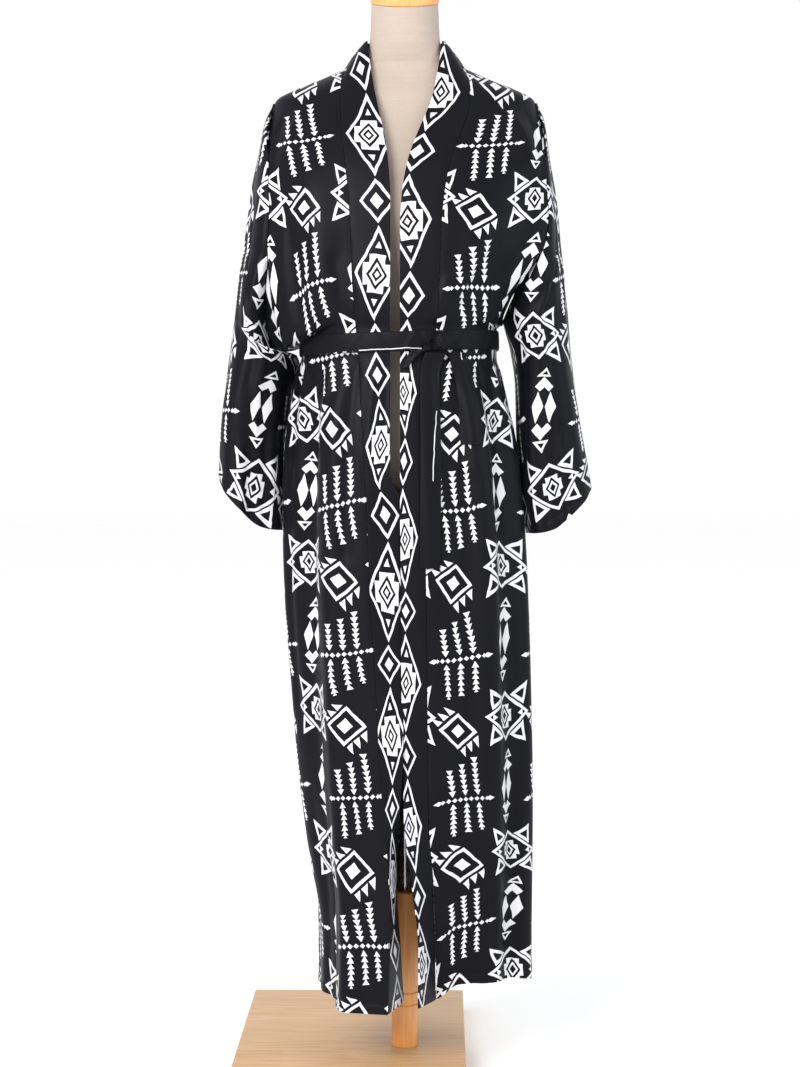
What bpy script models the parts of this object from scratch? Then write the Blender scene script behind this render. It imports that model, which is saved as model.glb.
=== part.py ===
"""A long kimono coat of woven cloth, tied with its own belt, on a limbless dress form.

Metres, Z up. The front of the coat faces -Y and the origin is on the axis of the
pole, at the underside of the base board.

The draped cloth is one surface, read by its angle round the pole's axis and its
height along the cloth. Angle 0 is the front centre, 90 degrees is a side and 180
degrees is the back centre. Each side, -1 for the left of the picture and +1 for the
right, has its own widths. The panels are cut from that surface at the seams.
"""

import math

import bpy
import numpy as np

# Driving sizes of the cloth
CLOTH = 0.0018
BAND_CLOTH = 0.0026
BAND_WIDTH = 0.060
SEAM = 0.0003
SEAM_REACH = 0.004
ARMHOLE_EASE = 0.0004
NECK_JOIN = 0.0009
TURNED_BAND = 1.435
HEM = 0.115
UNDERARM = 1.105
SHOULDER_TIP = 1.405
NECK_SEAM = 1.455
NECK_END = math.radians(70)
ROUNDNESS = 0.08

# Driving sizes of the belt
BELT_CLOTH = 0.0026
BELT_HEIGHT = 0.028
BELT_MIDDLE = 1.0595
BELT_SLOPE = 0.03
BELT_REST = 0.0006
KNOT_X = 0.052
KNOT_SIZE = (0.030, 0.018, 0.027)
LONG_END_X = 0.037
LONG_END_WIDTH = 0.028
SHORT_END_WIDTH = 0.022
END_REST = 0.0010

# Driving sizes of the stand
BOARD_LEFT = -0.246
BOARD_RIGHT = 0.089
BOARD_FRONT = -0.130
BOARD_BACK = 0.342
BOARD_TOP = 0.030
BOARD_EDGE = 0.0015
POLE_RADIUS = 0.0195
POLE_TOP = 0.260
TUBE_RADIUS = 0.0075
TORSO_BOTTOM = 0.845
NECK_TOP = 1.548
NECK_TILT = math.radians(16)
CAP_RADIUS = 0.0495
TOUCH = 0.0003

FRONT_COLUMNS = 12
BACK_COLUMNS = 28
BAND_COLUMNS = 3
SLEEVE_COLUMNS = 18
BELT_COLUMNS = 48
TORSO_SIDES = 24


def table(names, rows):
    """Turns rows of numbers into columns that are read by name."""
    columns = names.split()
    return {name: np.array([row[i] for row in rows], float) for i, name in enumerate(columns)}


# The draped coat by height along the cloth. left and right are how far out the side
# seam or armhole seam lies, front and back how deep the cloth lies at the centre,
# armhole the angle of the armhole seam, and droop how far the cloth bags over the belt.
COAT = table(
    "height left right front_left front_right back armhole droop_left droop_right",
    [
        (0.115, 0.123, 0.186, 0.165, 0.075, 0.115, 90, 0.000, 0.000),
        (0.180, 0.123, 0.186, 0.163, 0.088, 0.118, 90, 0.000, 0.000),
        (0.257, 0.125, 0.186, 0.160, 0.105, 0.120, 90, 0.000, 0.000),
        (0.350, 0.138, 0.186, 0.157, 0.125, 0.124, 90, 0.000, 0.000),
        (0.450, 0.150, 0.185, 0.155, 0.140, 0.128, 90, 0.000, 0.000),
        (0.570, 0.160, 0.182, 0.152, 0.149, 0.132, 90, 0.000, 0.000),
        (0.690, 0.169, 0.178, 0.151, 0.151, 0.136, 90, 0.000, 0.000),
        (0.784, 0.172, 0.173, 0.150, 0.150, 0.138, 90, 0.000, 0.000),
        (0.850, 0.172, 0.167, 0.149, 0.149, 0.138, 90, 0.000, 0.000),
        (0.910, 0.169, 0.160, 0.147, 0.147, 0.135, 90, 0.000, 0.000),
        (0.970, 0.162, 0.149, 0.144, 0.144, 0.126, 90, 0.000, 0.000),
        (1.010, 0.155, 0.139, 0.141, 0.141, 0.115, 90, 0.000, 0.000),
        (1.040, 0.150, 0.133, 0.138, 0.138, 0.107, 90, 0.000, 0.000),
        (1.080, 0.150, 0.133, 0.138, 0.138, 0.107, 90, 0.000, 0.000),
        (1.086, 0.158, 0.136, 0.141, 0.141, 0.111, 90, 0.006, 0.002),
        (1.094, 0.171, 0.139, 0.145, 0.145, 0.117, 90, 0.029, 0.008),
        (1.105, 0.187, 0.141, 0.148, 0.148, 0.122, 90, 0.053, 0.012),
        (1.130, 0.196, 0.152, 0.150, 0.150, 0.125, 76, 0.047, 0.010),
        (1.160, 0.196, 0.172, 0.150, 0.150, 0.124, 64, 0.031, 0.005),
        (1.200, 0.190, 0.193, 0.148, 0.148, 0.120, 56, 0.010, 0.000),
        (1.250, 0.192, 0.202, 0.143, 0.143, 0.117, 54, 0.000, 0.000),
        (1.300, 0.193, 0.202, 0.134, 0.134, 0.117, 56, 0.000, 0.000),
        (1.345, 0.193, 0.199, 0.118, 0.118, 0.114, 62, 0.000, 0.000),
        (1.380, 0.192, 0.194, 0.100, 0.100, 0.106, 74, 0.000, 0.000),
        (1.395, 0.190, 0.191, 0.092, 0.092, 0.101, 81, 0.000, 0.000),
        (1.405, 0.189, 0.189, 0.087, 0.087, 0.097, 87, 0.000, 0.000),
        (1.412, 0.185, 0.185, 0.083, 0.083, 0.094, 90, 0.000, 0.000),
        (1.425, 0.160, 0.160, 0.076, 0.076, 0.088, 90, 0.000, 0.000),
        (1.440, 0.122, 0.122, 0.068, 0.068, 0.080, 90, 0.000, 0.000),
        (1.448, 0.104, 0.104, 0.064, 0.064, 0.076, 90, 0.000, 0.000),
        (1.455, 0.088, 0.088, 0.060, 0.060, 0.072, 90, 0.000, 0.000),
    ],
)

# The neckband by height: how far out its seam and its free edge lie on each side, how
# far the free edge turns inwards from the cloth's line, and how far it stands up.
NECKBAND = table(
    "height seam_left edge_left turn_left seam_right edge_right turn_right rise",
    [
        (0.115, 0.022, 0.000, 0.080, 0.0465, 0.0215, -0.053, 0.000),
        (0.200, 0.020, 0.005, 0.068, 0.0450, 0.0225, -0.043, 0.000),
        (0.290, 0.019, 0.010, 0.050, 0.0420, 0.0130, -0.030, 0.000),
        (0.380, 0.028, 0.007, 0.020, 0.0354, 0.0010, -0.012, 0.000),
        (0.470, 0.034, 0.006, 0.004, 0.0340, -0.0010, 0.000, 0.000),
        (0.570, 0.039, 0.008, 0.000, 0.0333, -0.0030, 0.000, 0.000),
        (0.740, 0.048, 0.010, 0.000, 0.0310, -0.0040, 0.000, 0.000),
        (0.830, 0.050, 0.018, 0.000, 0.0270, -0.0050, 0.000, 0.000),
        (0.950, 0.058, 0.020, 0.000, 0.0240, -0.0050, 0.000, 0.000),
        (1.060, 0.066, 0.020, 0.000, 0.0440, -0.0050, 0.000, 0.000),
        (1.150, 0.073, 0.019, 0.000, 0.0500, -0.0050, 0.000, 0.000),
        (1.216, 0.075, 0.019, 0.000, 0.0525, -0.0050, 0.000, 0.000),
        (1.260, 0.077, 0.019, 0.000, 0.0560, -0.0030, 0.000, 0.000),
        (1.310, 0.083, 0.022, 0.000, 0.0650, 0.0050, 0.000, 0.000),
        (1.355, 0.088, 0.029, 0.002, 0.0810, 0.0200, 0.002, 0.000),
        (1.400, 0.091, 0.040, 0.008, 0.0930, 0.0390, 0.008, 0.006),
        (1.430, 0.091, 0.048, 0.020, 0.0930, 0.0475, 0.020, 0.020),
        (1.455, 0.0827, 0.0545, 0.030, 0.0827, 0.0545, 0.030, 0.040),
    ],
)

# Large folds: where each one lies at the belt and at its far end, in degrees round the
# coat with the left side negative, its reach in height, its fade, depth and half width.
FOLDS = table(
    "belt_angle far_angle low high fade depth width",
    [
        (-32, -37, -1.0, 1.043, 0.11, 0.012, 8),
        (-50, -56, -1.0, 1.040, 0.16, -0.016, 11),
        (-72, -78, 0.20, 1.043, 0.10, 0.007, 8),
        (-20, -16, 0.55, 1.043, 0.14, 0.004, 6),
        (-104, -106, -1.0, 1.043, 0.16, -0.009, 9),
        (-122, -126, -1.0, 1.043, 0.13, 0.011, 9),
        (-143, -148, -1.0, 1.043, 0.15, -0.010, 9),
        (-162, -168, -1.0, 1.043, 0.12, 0.010, 8),
        (178, 172, -1.0, 1.043, 0.17, -0.009, 9),
        (160, 152, -1.0, 1.043, 0.13, 0.010, 8),
        (140, 133, -1.0, 1.043, 0.15, -0.010, 9),
        (118, 113, -1.0, 1.043, 0.12, 0.010, 9),
        (27, 29, 0.40, 1.043, 0.12, -0.005, 6),
        (38, 40, -1.0, 1.043, 0.11, 0.011, 7),
        (52, 52, -1.0, 1.043, 0.14, -0.009, 7),
        (66, 64, -1.0, 1.043, 0.12, 0.009, 8),
        (82, 84, 0.45, 1.043, 0.12, -0.005, 8),
    ],
)

# Folds of the bodice, bagged over the belt and fading up towards the shoulders.
BODICE_FOLDS = table(
    "belt_angle far_angle low high fade depth width",
    [
        (-30, -34, 1.082, 1.330, 0.07, 0.006, 7),
        (-44, -48, 1.082, 1.300, 0.06, -0.006, 7),
        (-58, -56, 1.082, 1.260, 0.06, 0.006, 8),
        (-22, -24, 1.082, 1.230, 0.05, -0.003, 6),
        (26, 30, 1.082, 1.250, 0.06, 0.004, 6),
        (40, 44, 1.082, 1.320, 0.07, -0.005, 7),
        (54, 55, 1.082, 1.280, 0.06, 0.006, 8),
        (-150, -154, 1.082, 1.320, 0.08, 0.007, 9),
        (-172, -176, 1.082, 1.360, 0.10, -0.006, 8),
        (166, 168, 1.082, 1.340, 0.08, 0.007, 9),
        (140, 136, 1.082, 1.290, 0.07, -0.005, 8),
        (-128, -124, 1.082, 1.270, 0.07, -0.005, 8),
    ],
)

# How far the hem rises above its lowest line, by the angle round the coat.
HEM_LIFT = table(
    "angle lift",
    [
        (-180, 0.012),
        (-90, 0.010),
        (-50, 0.002),
        (-20, 0.000),
        (0, 0.000),
        (13, 0.000),
        (24, 0.022),
        (50, 0.026),
        (90, 0.017),
        (180, 0.012),
    ],
)
HEM_LIFT_REACH = 0.30

# The sleeve from the shoulder tip to the underarm, by height.
UPPER_SLEEVE = table(
    "height outer_left outer_right depth",
    [
        (1.105, 0.2460, 0.2360, 0.086),
        (1.130, 0.2425, 0.2330, 0.088),
        (1.160, 0.2385, 0.2295, 0.090),
        (1.200, 0.2315, 0.2230, 0.090),
        (1.250, 0.2240, 0.2180, 0.086),
        (1.300, 0.2170, 0.2115, 0.076),
        (1.345, 0.2090, 0.2060, 0.060),
        (1.380, 0.2015, 0.2010, 0.036),
        (1.395, 0.1970, 0.1970, 0.022),
        (1.405, 0.1925, 0.1925, 0.010),
    ],
)

# The sleeve from the underarm, at drop 0, to the cuff, at drop 1: how far out and how
# high its underarm seam and its outer fold lie on each side, and how deep it is.
LOWER_SLEEVE = table(
    "drop inner_left inner_z_left outer_left outer_z_left"
    " inner_right inner_z_right outer_right outer_z_right front back",
    [
        (0.00, 0.1875, 1.052, 0.2460, 1.105, 0.1415, 1.093, 0.2360, 1.105, 0.086, 0.086),
        (0.12, 0.1880, 1.028, 0.2525, 1.060, 0.1530, 1.050, 0.2400, 1.055, 0.088, 0.086),
        (0.28, 0.1870, 0.985, 0.2590, 1.010, 0.1600, 0.998, 0.2455, 1.005, 0.088, 0.084),
        (0.46, 0.1860, 0.935, 0.2640, 0.965, 0.1615, 0.940, 0.2525, 0.952, 0.086, 0.082),
        (0.64, 0.1850, 0.885, 0.2670, 0.930, 0.1640, 0.885, 0.2590, 0.918, 0.083, 0.080),
        (0.82, 0.1815, 0.835, 0.2680, 0.903, 0.1690, 0.835, 0.2650, 0.888, 0.081, 0.078),
        (1.00, 0.1765, 0.790, 0.2685, 0.879, 0.1770, 0.787, 0.2690, 0.863, 0.080, 0.078),
    ],
)
CUFF_SWEEP = 2.6
SLEEVE_ROUNDNESS = 0.05

# Soft folds down each sleeve: how far round the sleeve, depth and half width.
SLEEVE_FOLDS = table(
    "round_at depth width",
    [
        (0.14, 0.006, 0.045),
        (0.25, -0.007, 0.050),
        (0.37, 0.005, 0.045),
        (0.62, -0.006, 0.050),
        (0.76, 0.006, 0.050),
        (0.88, -0.005, 0.040),
    ],
)

# The torso of the form by height: half width, depth in front and behind, how far its
# centre leans forward, and how much of the neck's tilt the section has.
TORSO = table(
    "height half_width front back lean tilt",
    [
        (0.845, 0.134, 0.090, 0.096, 0.000, 0),
        (0.852, 0.142, 0.097, 0.104, 0.000, 0),
        (0.868, 0.146, 0.101, 0.109, 0.000, 0),
        (0.920, 0.142, 0.101, 0.111, 0.000, 0),
        (0.970, 0.132, 0.098, 0.104, 0.000, 0),
        (1.010, 0.126, 0.095, 0.094, 0.000, 0),
        (1.060, 0.119, 0.093, 0.085, 0.000, 0),
        (1.110, 0.125, 0.100, 0.085, 0.000, 0),
        (1.170, 0.143, 0.115, 0.090, 0.000, 0),
        (1.240, 0.156, 0.125, 0.096, 0.000, 0),
        (1.300, 0.159, 0.113, 0.099, 0.000, 0),
        (1.350, 0.168, 0.092, 0.096, 0.000, 0),
        (1.380, 0.178, 0.078, 0.088, 0.000, 0),
        (1.395, 0.1805, 0.073, 0.083, 0.000, 0),
        (1.405, 0.1800, 0.069, 0.080, 0.000, 0),
        (1.412, 0.1780, 0.066, 0.077, 0.000, 0),
        (1.425, 0.1535, 0.057, 0.070, 0.000, 0),
        (1.440, 0.1150, 0.046, 0.061, 0.000, 0),
        (1.455, 0.0800, 0.040, 0.052, 0.000, 0),
        (1.464, 0.0650, 0.041, 0.049, 0.001, 0),
        (1.476, 0.0555, 0.044, 0.048, 0.003, 0.1),
        (1.495, 0.0515, 0.047, 0.050, 0.006, 0.4),
        (1.520, 0.0500, 0.047, 0.049, 0.010, 0.8),
        (1.548, 0.0490, 0.047, 0.047, 0.015, 1.0),
    ],
)


class Profile:
    """A smooth curve through one column of a table that never overshoots its rows."""

    def __init__(self, rows, name, along="height"):
        self.x = rows[along]
        self.y = rows[name]
        self.step = np.diff(self.x)
        rise = np.diff(self.y) / self.step
        self.slope = np.zeros(len(self.x))
        self.slope[0] = rise[0]
        self.slope[-1] = rise[-1]
        for i in range(1, len(self.x) - 1):
            if rise[i - 1] * rise[i] > 0:
                self.slope[i] = 2 * rise[i - 1] * rise[i] / (rise[i - 1] + rise[i])

    def __call__(self, at):
        at = np.clip(at, self.x[0], self.x[-1])
        i = np.clip(np.searchsorted(self.x, at, side="right") - 1, 0, len(self.x) - 2)
        step = self.step[i]
        t = (at - self.x[i]) / step
        level = self.y[i] * (1 + 2 * t) * (1 - t) ** 2 + self.y[i + 1] * t * t * (3 - 2 * t)
        return level + step * (self.slope[i] * t * (1 - t) ** 2 + self.slope[i + 1] * t * t * (t - 1))


COAT_AT = {name: Profile(COAT, name) for name in COAT}
BAND_AT = {name: Profile(NECKBAND, name) for name in NECKBAND}
UPPER_AT = {name: Profile(UPPER_SLEEVE, name) for name in UPPER_SLEEVE}
LOWER_AT = {name: Profile(LOWER_SLEEVE, name, "drop") for name in LOWER_SLEEVE}
LIFT_AT = Profile(HEM_LIFT, "lift", "angle")
SIDES = {-1: "left", 1: "right"}


def ease(t):
    """Rises from 0 to 1 with a soft start and a soft end."""
    t = np.clip(t, 0, 1)
    return t * t * (3 - 2 * t)


def swell(angle, height):
    """How much fuller than an ellipse the coat is between its front and its side."""
    return 1 + ROUNDNESS * ease((1.43 - height) / 0.15) * np.sin(2 * angle) ** 2


def armhole_angle(height):
    return np.radians(COAT_AT["armhole"](height))


def half_width(side, height):
    seam = armhole_angle(height)
    return COAT_AT[SIDES[side]](height) / (np.sin(seam) * swell(seam, height))


def angle_at(side, x, height):
    """The angle at which the cloth on one side lies x out from the middle."""
    angle = 0.0
    for _ in range(8):
        angle = np.arcsin(np.clip(x / half_width(side, height) / swell(angle, height), -1, 1))
    return angle


def fold_depth(side, angle, height):
    """How far the large folds lift the cloth or sink it."""
    around = np.degrees(side * angle)
    total = 0.0
    for folds, near, far in ((FOLDS, 1.04, HEM), (BODICE_FOLDS, 1.08, 1.36)):
        for i in range(len(folds["depth"])):
            t = np.clip((height - near) / (far - near), 0, 1)
            middle = folds["belt_angle"][i] + (folds["far_angle"][i] - folds["belt_angle"][i]) * t
            away = (around - middle + 180) % 360 - 180
            reach = ease((height - folds["low"][i]) / folds["fade"][i])
            reach = reach * ease((folds["high"][i] - height) / folds["fade"][i])
            total = total + folds["depth"][i] * reach * np.exp(-((away / folds["width"][i]) ** 2))
    return total


def cloth(side, angle, height):
    """A point on the outside of the draped coat."""
    angle, height = np.broadcast_arrays(np.asarray(angle, float), np.asarray(height, float))
    wide = half_width(side, height)
    front = COAT_AT["front_" + SIDES[side]](height)
    deep = np.where(angle < math.pi / 2, front, COAT_AT["back"](height))
    full = swell(angle, height)
    normal_x = deep * np.sin(angle)
    normal_y = -wide * np.cos(angle)
    length = np.hypot(normal_x, normal_y)
    fold = fold_depth(side, angle, height)
    bag = ease((np.abs(np.sin(angle)) - 0.5) / 0.45)
    low = 1 - np.clip((height - HEM) / HEM_LIFT_REACH, 0, 1)
    x = side * (wide * np.sin(angle) * full + fold * normal_x / length)
    y = -deep * np.cos(angle) * full + fold * normal_y / length
    z = height - bag * COAT_AT["droop_" + SIDES[side]](height)
    z = z + LIFT_AT(np.degrees(side * angle)) * ease(low)
    return np.stack([x, y, z], -1)


def front(side, across, height):
    """A point of a front: across is 0 at the free edge, 1 at the band seam, 2 at the side."""
    across, height = np.broadcast_arrays(np.asarray(across, float), np.asarray(height, float))
    name = SIDES[side]
    edge = angle_at(side, BAND_AT["edge_" + name](height), height)
    seam = angle_at(side, BAND_AT["seam_" + name](height), height)
    outer = armhole_angle(height)
    angle = np.where(across < 1, edge + (seam - edge) * across, seam + (outer - seam) * (across - 1))
    point = cloth(side, angle, height)
    free = np.clip(1 - across, 0, 1)
    point[..., 1] += free * BAND_AT["turn_" + name](height)
    point[..., 2] += free * BAND_AT["rise"](height)
    return point


def sleeve_upper(side, around, height):
    """A row of a sleeve above the underarm, open towards the coat at the armhole seam."""
    seam = armhole_angle(height)
    outer = UPPER_AT["outer_" + SIDES[side]](height)
    points = []
    for t in around:
        behind = t > 0.5
        start = cloth(side, math.pi - seam if behind else seam, height)
        out = 2 * (1 - t) if behind else 2 * t
        deep = max(float(UPPER_AT["depth"](height)), abs(start[1]))
        first = math.asin(min(1.0, abs(start[1]) / deep))
        turn = first + (math.pi - first) * out
        wide = (outer - side * start[0]) / (1 + math.cos(first))
        x = outer - wide - wide * math.cos(turn) + ARMHOLE_EASE * (1 - out)
        y = math.copysign(deep * math.sin(turn), 1 if behind else -1)
        points.append((side * x, y, start[2] + (height - start[2]) * out * out))
    return np.array(points)


def sleeve_lower(side, around, drop):
    """A row of a sleeve below the underarm, closed all round."""
    name = SIDES[side]
    inner = LOWER_AT["inner_" + name](drop)
    outer = LOWER_AT["outer_" + name](drop)
    low = LOWER_AT["inner_z_" + name](drop)
    high = LOWER_AT["outer_z_" + name](drop)
    turn = 2 * math.pi * np.asarray(around)
    full = 1 + SLEEVE_ROUNDNESS * drop * np.sin(2 * turn) ** 2
    deep = np.where(turn < math.pi, LOWER_AT["front"](drop), LOWER_AT["back"](drop))
    fold = np.zeros(len(turn))
    for i in range(len(SLEEVE_FOLDS["depth"])):
        away = (np.asarray(around) - SLEEVE_FOLDS["round_at"][i]) / SLEEVE_FOLDS["width"][i]
        fold = fold + SLEEVE_FOLDS["depth"][i] * ease(drop / 0.5) * np.exp(-(away**2))
    half = (outer - inner) / 2
    x = (inner + outer) / 2 - (half * full + fold) * np.cos(turn)
    y = -(deep * full + fold) * np.sin(turn)
    sweep = 2 + (CUFF_SWEEP - 2) * drop
    z = low + (high - low) * ((1 - np.cos(turn)) / 2) ** sweep
    return np.stack([side * x, y, z], -1)


def material(name, colour, roughness, metallic=0.0):
    finish = bpy.data.materials.new(name)
    finish.use_nodes = True
    shader = finish.node_tree.nodes["Principled BSDF"]
    shader.inputs["Base Color"].default_value = (*colour, 1.0)
    shader.inputs["Roughness"].default_value = roughness
    shader.inputs["Metallic"].default_value = metallic
    finish.diffuse_color = (*colour, 1.0)
    return finish


def add_mesh(name, points, faces, finish):
    mesh = bpy.data.meshes.new(name)
    mesh.from_pydata([tuple(map(float, point)) for point in points], [], faces)
    mesh.materials.append(finish)
    mesh.shade_smooth()
    mesh.set_sharp_from_angle(angle=math.radians(40))
    thing = bpy.data.objects.new(name, mesh)
    bpy.context.collection.objects.link(thing)
    return thing


def grid_normals(grid, before=None, after=None, above=None):
    """Unit normals of a grid of points. The rest are the neighbours' next columns and row."""
    first = grid[:, :1] if before is None else before[:, None]
    last = grid[:, -1:] if after is None else after[:, None]
    wide = np.concatenate([first, grid, last], axis=1)
    across = wide[:, 2:] - wide[:, :-2]
    top = grid[-1:] if above is None else above[None]
    tall = np.concatenate([grid[:1], grid, top], axis=0)
    up = tall[2:] - tall[:-2]
    normals = np.cross(across, up)
    return normals / np.linalg.norm(normals, axis=2, keepdims=True)


def add_wall(name, grid, normals, thickness, finish, closed_rows=0, ring=False):
    """A sheet of cloth with a real thickness, laid inwards from its outer points.

    The first closed_rows rows join their last column to their first, as a tube does.
    With ring set, every row does so and the last column isn't repeated.
    """
    rows, columns = grid.shape[:2]
    index = {}
    outer = []
    inner = []
    for r in range(rows):
        for c in range(columns):
            if r < closed_rows and c == columns - 1:
                index[r, c] = index[r, 0]
                continue
            index[r, c] = len(outer)
            outer.append(grid[r, c])
            inner.append(grid[r, c] - normals[r, c] * thickness)
    for r in range(rows):
        if ring:
            index[r, columns] = index[r, 0]
    faces = []
    for r in range(rows - 1):
        for c in range(columns if ring else columns - 1):
            faces.append((index[r, c], index[r, c + 1], index[r + 1, c + 1], index[r + 1, c]))
    count = len(outer)
    sides = {}
    for face in faces:
        for a, b in zip(face, face[1:] + face[:1]):
            sides[a, b] = True
    rims = [(b, a, a + count, b + count) for a, b in sides if (b, a) not in sides]
    backs = [tuple(i + count for i in reversed(face)) for face in faces]
    return add_mesh(name, outer + inner, faces + backs + rims, finish)


def row_share(side, height, start, stop, length=SEAM / 2):
    """A length, such as half a seam's gap, as a share of the way across one part of a front."""
    width = np.linalg.norm(front(side, stop, height) - front(side, start, height))
    return min(0.5, length / width)


def unit(vector):
    return vector / np.linalg.norm(vector)


def band_seam_step(side, height):
    """Direction of the cloth across the band seam, outwards from the front's middle."""
    band = row_share(side, height, 0, 1, SEAM_REACH)
    panel = row_share(side, height, 1, 2, SEAM_REACH)
    return unit(front(side, 1 + panel, height) - front(side, 1 - band, height))


def past_side(side, height, row, behind=False):
    """The point that sets how a panel's outer edge leans.

    At the side seam both panels lean alike. At the armhole each keeps its own lean,
    because the sleeve can meet it in a sharp crease.
    """
    if UNDERARM < height <= SHOULDER_TIP:
        return row[-1]
    reach = SEAM_REACH / float(half_width(side, height))
    step = unit(cloth(side, math.pi / 2 + reach, height) - cloth(side, math.pi / 2 - reach, height))
    return row[-2] + step * (-1 if behind else 1)


def add_front(side, finish):
    """A front panel, from the band seam to the side seam and the armhole."""
    rows = []
    before = []
    after = []
    for height in COAT["height"]:
        gap = row_share(side, height, 1, 2)
        turned = row_share(side, height, 1, 2, NECK_JOIN / 2) if height > TURNED_BAND else gap
        row = front(side, np.linspace(1 + turned, 2 - gap, FRONT_COLUMNS + 1), height)
        rows.append(row)
        before.append(row[1] - band_seam_step(side, height))
        after.append(past_side(side, height, row))
    grid = np.array(rows)
    normals = grid_normals(grid, np.array(before), np.array(after))
    if side < 0:
        grid = grid[:, ::-1]
        normals = -normals[:, ::-1]
    return add_wall(f"front_{SIDES[side]}", grid, normals, CLOTH, finish)


def add_back(finish):
    """The back panel, in one piece from side seam to side seam."""
    rows = []
    before = []
    after = []
    for height in COAT["height"]:
        start = math.pi - armhole_angle(height)
        deep = float(COAT_AT["back"](height))
        first = start + SEAM / 2 / deep
        angles = first + (math.pi - first) * np.linspace(0, 1, BACK_COLUMNS // 2 + 1)
        row = np.concatenate([cloth(-1, angles, height), cloth(1, angles, height)[::-1][1:]])
        rows.append(row)
        before.append(past_side(-1, height, row[::-1], behind=True))
        after.append(past_side(1, height, row, behind=True))
    grid = np.array(rows)
    normals = -grid_normals(grid, np.array(before), np.array(after))
    return add_wall("back", grid[:, ::-1], normals[:, ::-1], CLOTH, finish)


def add_band(side, finish):
    """One front of the neckband, from the hem to the side of the neck."""
    rows = []
    after = []
    for height in COAT["height"]:
        gap = row_share(side, height, 0, 1)
        row = front(side, np.linspace(0, 1 - gap, BAND_COLUMNS + 1), height)
        rows.append(row)
        after.append(row[-2] + band_seam_step(side, height))
    grid = np.array(rows)
    beyond = neck_band_grid()[::-1, 1 if side < 0 else -2]
    normals = grid_normals(grid, None, np.array(after), beyond)
    if side < 0:
        grid = grid[:, ::-1]
        normals = -normals[:, ::-1]
    return add_wall(f"band_{SIDES[side]}", grid, normals, BAND_CLOTH, finish)


def neck_band_grid():
    """Points of the neckband round the back of the neck, from its foot to its free edge."""
    top_width = 0.058
    top_back = 0.066
    top_front = 0.050
    top_z = 1.495
    back_rise = 0.008
    columns = 20
    reach = math.pi - NECK_END - NECK_JOIN / top_back
    rows = []
    for rise in np.linspace(0, 1, BAND_COLUMNS + 1):
        row = []
        for share in np.linspace(-1, 1, columns + 1):
            turn = math.pi - reach * abs(share)
            side = -1 if share < 0 else 1
            foot = cloth(side, turn, NECK_SEAM) + np.array([0, 0, SEAM])
            deep = top_back if turn > math.pi / 2 else top_front
            head_z = top_z + back_rise * ease(1 - abs(share))
            head = np.array([side * top_width * math.sin(turn), -deep * math.cos(turn), head_z])
            row.append(foot + (head - foot) * rise)
        rows.append(row)
    return np.array(rows)


def add_neck_band(finish):
    """The neckband round the back of the neck, standing on the neck seam."""
    grid = neck_band_grid()
    below = COAT["height"][-2]
    across = np.linspace(1, 0, BAND_COLUMNS + 1)
    before = front(-1, across, below)
    after = front(1, across, below)
    normals = -grid_normals(grid, before, after)
    return add_wall("band_neck", grid[:, ::-1], normals[:, ::-1], BAND_CLOTH, finish)


def add_sleeve(side, finish):
    """A wide sleeve: a tube from the cuff to the underarm, then open to the armhole."""
    drops = LOWER_SLEEVE["drop"][::-1]
    uppers = [h for h in COAT["height"] if UNDERARM < h <= SHOULDER_TIP]
    around = np.linspace(0, 1, SLEEVE_COLUMNS + 1)
    rows = []
    before = []
    after = []
    for drop in drops:
        row = sleeve_lower(side, around, drop)
        rows.append(row)
        before.append(row[-2])
        after.append(row[1])
    for height in uppers:
        length = np.linalg.norm(np.diff(sleeve_upper(side, around, height), axis=0), axis=1).sum()
        gap = SEAM / 2 / length
        row = sleeve_upper(side, gap + around * (1 - 2 * gap), height)
        rows.append(row)
        before.append(row[0])
        after.append(row[-1])
    grid = np.array(rows)
    normals = grid_normals(grid, np.array(before), np.array(after))
    if side < 0:
        grid = grid[:, ::-1]
        normals = -normals[:, ::-1]
    return add_wall(f"sleeve_{SIDES[side]}", grid, normals, CLOTH, finish, closed_rows=len(drops))


def waist_frame(x, away):
    """A point outside the belt zone at x, with its outward and sideways directions."""
    side = -1 if x < 0 else 1
    angle = float(angle_at(side, abs(x), BELT_MIDDLE))
    small = 0.01
    point = cloth(side, angle, BELT_MIDDLE)
    along = cloth(side, angle + small, BELT_MIDDLE) - cloth(side, angle - small, BELT_MIDDLE)
    along = along * side / np.linalg.norm(along)
    outward = np.cross(along, (0, 0, 1))
    return point + outward * away, outward, along


def add_belt(finish):
    """The tie belt's loop, lying on the gathered waist."""
    rows = []
    lifts = (-BELT_HEIGHT / 2, 0.0, BELT_HEIGHT / 2)
    for lift in lifts:
        row = []
        for c in range(BELT_COLUMNS):
            turn = 2 * math.pi * c / BELT_COLUMNS - math.pi
            side = -1 if turn < 0 else 1
            point = cloth(side, abs(turn), BELT_MIDDLE)
            ahead = turn + 0.01
            behind = turn - 0.01
            step = cloth(-1 if ahead < 0 else 1, abs(ahead), BELT_MIDDLE)
            step = step - cloth(-1 if behind < 0 else 1, abs(behind), BELT_MIDDLE)
            outward = np.cross(step, (0, 0, 1))
            outward = outward / np.linalg.norm(outward)
            point = point + outward * (BELT_REST + BELT_CLOTH)
            point[2] = BELT_MIDDLE + BELT_SLOPE * point[0] + lift
            row.append(point)
        rows.append(row)
    grid = np.array(rows)
    before = grid[:, -1]
    after = grid[:, 0]
    normals = grid_normals(grid, before, after)
    return add_wall("belt", grid, normals, BELT_CLOTH, finish, ring=True)


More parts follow.
